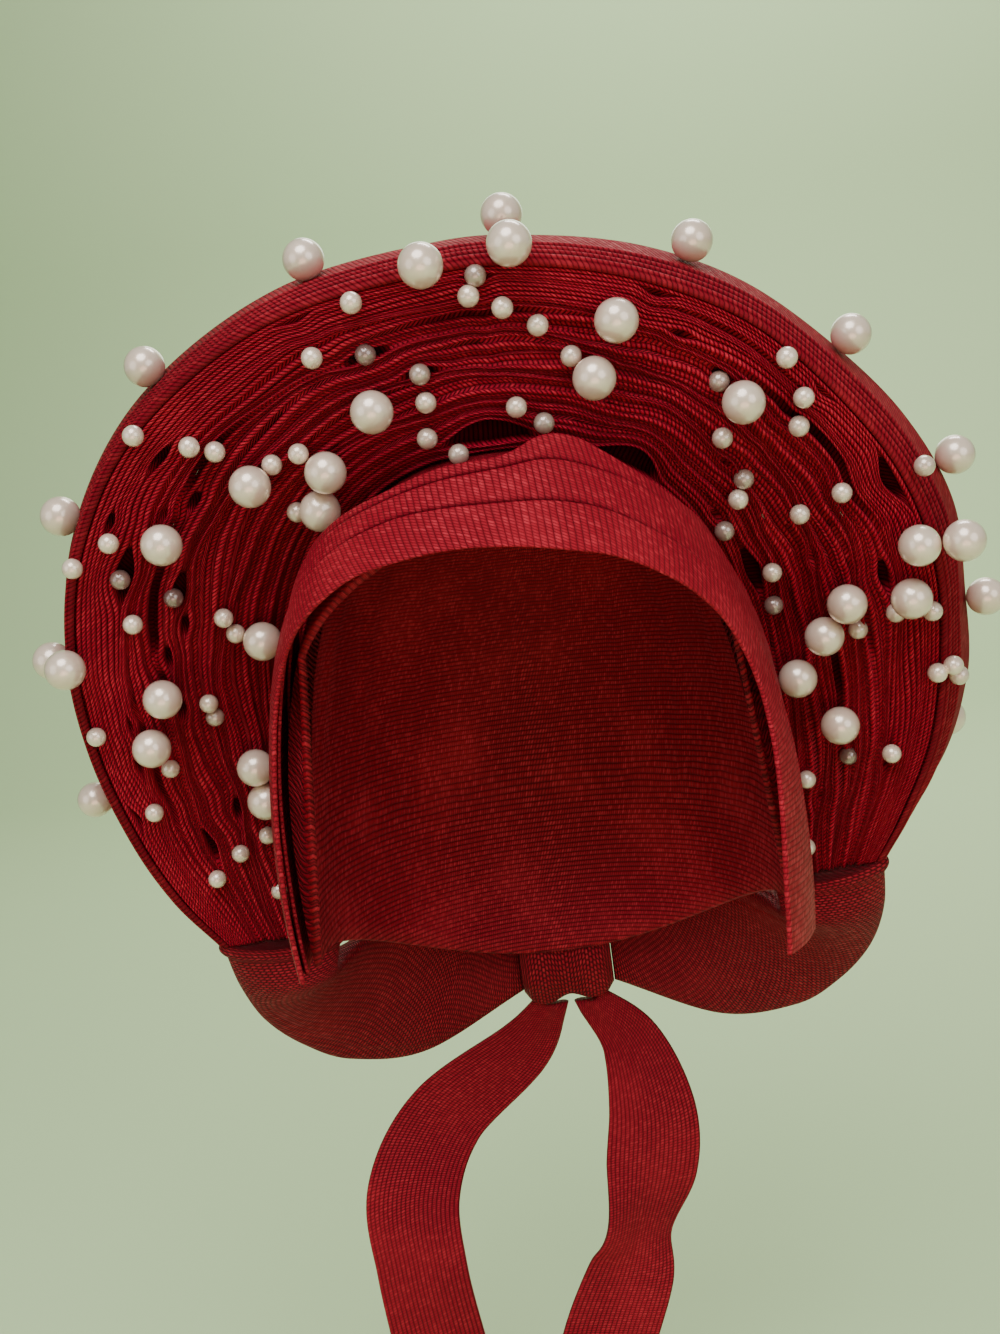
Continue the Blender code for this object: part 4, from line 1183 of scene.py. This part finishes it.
def build_pearls(crests):
    """Large pearls where the solids are, and small ones seated on the nearest crest, sunk by their
    share of a radius. A place read on the fan's plane moves along the sight line to its depth."""
    names = sorted(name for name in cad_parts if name.startswith("pearl_"))
    middles = [box_middle(name) for name in names]
    large = beads("large_pearls", middles, PEARL_RADIUS, *PEARL_ROUNDS, pearl_coat)
    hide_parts(*names)
    flat = crests - ORIGIN
    p, q, n = flat @ ACROSS, flat @ UP, flat @ BACK
    eye = EYE - ORIGIN
    eye_p, eye_q, eye_n = eye @ ACROSS, eye @ UP, eye @ BACK
    places = []
    for across, up, sunk in SMALL_PEARLS:
        read_p, read_q = across * FAN_HALF_WIDTH, up * FAN_HEIGHT
        near = np.unravel_index(np.argmin((p - read_p) ** 2 + (q - read_q) ** 2), p.shape)
        depth = n[near] + SMALL_PEARL_RADIUS * (SUNK_DEPTH * sunk - PEARL_SEAT)
        share = (depth - eye_n) / -eye_n
        places.append((eye_p + (read_p - eye_p) * share, eye_q + (read_q - eye_q) * share, depth))
    across, up, back = np.array(places).T
    # Painted shade on sunk pearls, growing with how far each has sunk.
    marks = np.minimum(SUNK_SHADE * np.array(SMALL_PEARLS)[:, 2], 1)
    centres = fan_point(across, up, back)
    small = beads(
        "small_pearls", centres, SMALL_PEARL_RADIUS, *SMALL_PEARL_ROUNDS, pearl_coat, marks)


# Camera, floor and lights

EYE = np.array([0.0122163, -0.4270270, 0.0892707])
EYE_TURN = 2.5
EYE_RISE = 5.0
EYE_ROLL = 7.5
LENS_PIXELS = 1400.0
FRAME_PIXELS = 1334.0
SENSOR = 36.0


PLAIN = (1.0, 1.0, 1.0)
WARM = (1.0, 0.62, 0.50)
MIDDLE = (0.0, 0.0, 0.06)

# One row a light: name, place, what it points at, width of its disc, power and tint.
LIGHTS = (
    ("key_light", (-0.12, -0.80, 1.00), MIDDLE, 0.90, 14.0, PLAIN),
    ("fill_light", (0.9, -1.1, 0.35), MIDDLE, 1.0, 6.0, PLAIN),
    ("side_light", (-1.1, -0.8, 0.3), MIDDLE, 1.0, 3.5, PLAIN),
    ("back_light", (0.2, 1.4, 1.0), MIDDLE, 1.2, 5.0, PLAIN),
    ("low_light", (0.0, -0.75, -0.20), MIDDLE, 0.6, 2.2, WARM),
    ("wall_light", (0.7, 1.4, 2.6), (0.8, 3.1, 0.5), 1.6, 78.0, PLAIN),
)
SKY_COLOUR = (0.80, 0.84, 0.78, 1.0)
SKY_STRENGTH = 0.45

# The floor: its side line from front to back, the bend up to the wall, and the wall's top.
FLOOR_LOOK = (("Base Color", (0.515, 0.67, 0.365, 1.0)), ("Roughness", 0.9))
FLOOR_DROP = 0.02
FLOOR_HALF_WIDTH = 6.0
FLOOR_LINE = (-4.0, -1.0, 1.0)
BEND_START = 2.0
BEND_RADIUS = 1.2
BEND_ROWS = 24
WALL_TOP = 5.0


def stand(thing, right, above, away, place):
    """Put a camera or a lamp in its place, with its three directions."""
    turned = np.eye(4)
    turned[:3, 0], turned[:3, 1], turned[:3, 2], turned[:3, 3] = right, above, away, place
    thing.matrix_world = Matrix(turned.tolist())


def build_camera():
    """The photograph's viewpoint, with its turn, rise and roll."""
    turn, rise, roll = (math.radians(value) for value in (EYE_TURN, EYE_RISE, EYE_ROLL))
    away = np.array([
        math.sin(turn) * math.cos(rise), -math.cos(turn) * math.cos(rise), math.sin(rise)])
    level = np.array([math.cos(turn), math.sin(turn), 0.0])
    upright = np.cross(away, level)
    right = level * math.cos(roll) - upright * math.sin(roll)
    above = level * math.sin(roll) + upright * math.cos(roll)
    data = bpy.data.cameras.new("camera")
    data.sensor_width = SENSOR
    data.lens = LENS_PIXELS / FRAME_PIXELS * SENSOR
    data.clip_start = 0.01
    camera = place_object("camera", data)
    stand(camera, right, above, away, EYE)
    bpy.context.scene.camera = camera


def build_stage():
    """Pale floor that curves up into a wall behind, soft lights and an even sky."""
    turn = np.radians(np.linspace(0, 90, BEND_ROWS))
    bend_y = BEND_START + BEND_RADIUS * np.sin(turn)
    bend_z = BEND_RADIUS * (1 - np.cos(turn))
    y = np.concatenate([FLOOR_LINE, bend_y, [BEND_START + BEND_RADIUS]])
    z = np.concatenate([np.zeros(len(FLOOR_LINE)), bend_z, [WALL_TOP]])
    z = z + float(cad_low[2]) - FLOOR_DROP
    sides = (-FLOOR_HALF_WIDTH, FLOOR_HALF_WIDTH)
    points = [(float(x), float(back), float(up)) for back, up in zip(y, z) for x in sides]
    faces = [(2 * k, 2 * k + 1, 2 * k + 3, 2 * k + 2) for k in range(len(y) - 1)]
    mesh = bpy.data.meshes.new("floor")
    mesh.from_pydata(points, [], faces)
    mesh.shade_smooth()
    mesh.materials.append(new_material("pale_floor", FLOOR_LOOK)[0])
    floor = place_object("floor", mesh)
    for name, place, target, size, power, tint in LIGHTS:
        data = bpy.data.lights.new(name, "AREA")
        data.shape = "DISK"
        data.size = size
        data.energy = power
        data.color = tint
        aim = np.array(target) - np.array(place)
        side = unit(np.cross(aim, [0, 0, 1]))
        stand(place_object(name, data), side, unit(np.cross(side, aim)), -unit(aim), place)
    world = bpy.data.worlds.new("sky")
    world.use_nodes = True
    background = world.node_tree.nodes["Background"]
    background.inputs["Color"].default_value = SKY_COLOUR
    background.inputs["Strength"].default_value = SKY_STRENGTH
    bpy.context.scene.world = world


build_camera()
build_stage()
build_band()
crests = build_fan()
build_crown()
knot = box_middle("nape_knot")
seat, rim = seat_and_rim(stations(COLUMNS))
build_wrap("left_wrap_cloth", "left_wrap", -1, seat[0], rim[0], knot)
build_wrap("right_wrap_cloth", "right_wrap", 1, seat[-1], rim[-1], knot)
build_knot(knot)
build_tie("left_tie_cloth", "left_tie", LEFT_TIE, knot)
build_tie("right_tie_cloth", "right_tie", RIGHT_TIE, knot)
build_pearls(crests)
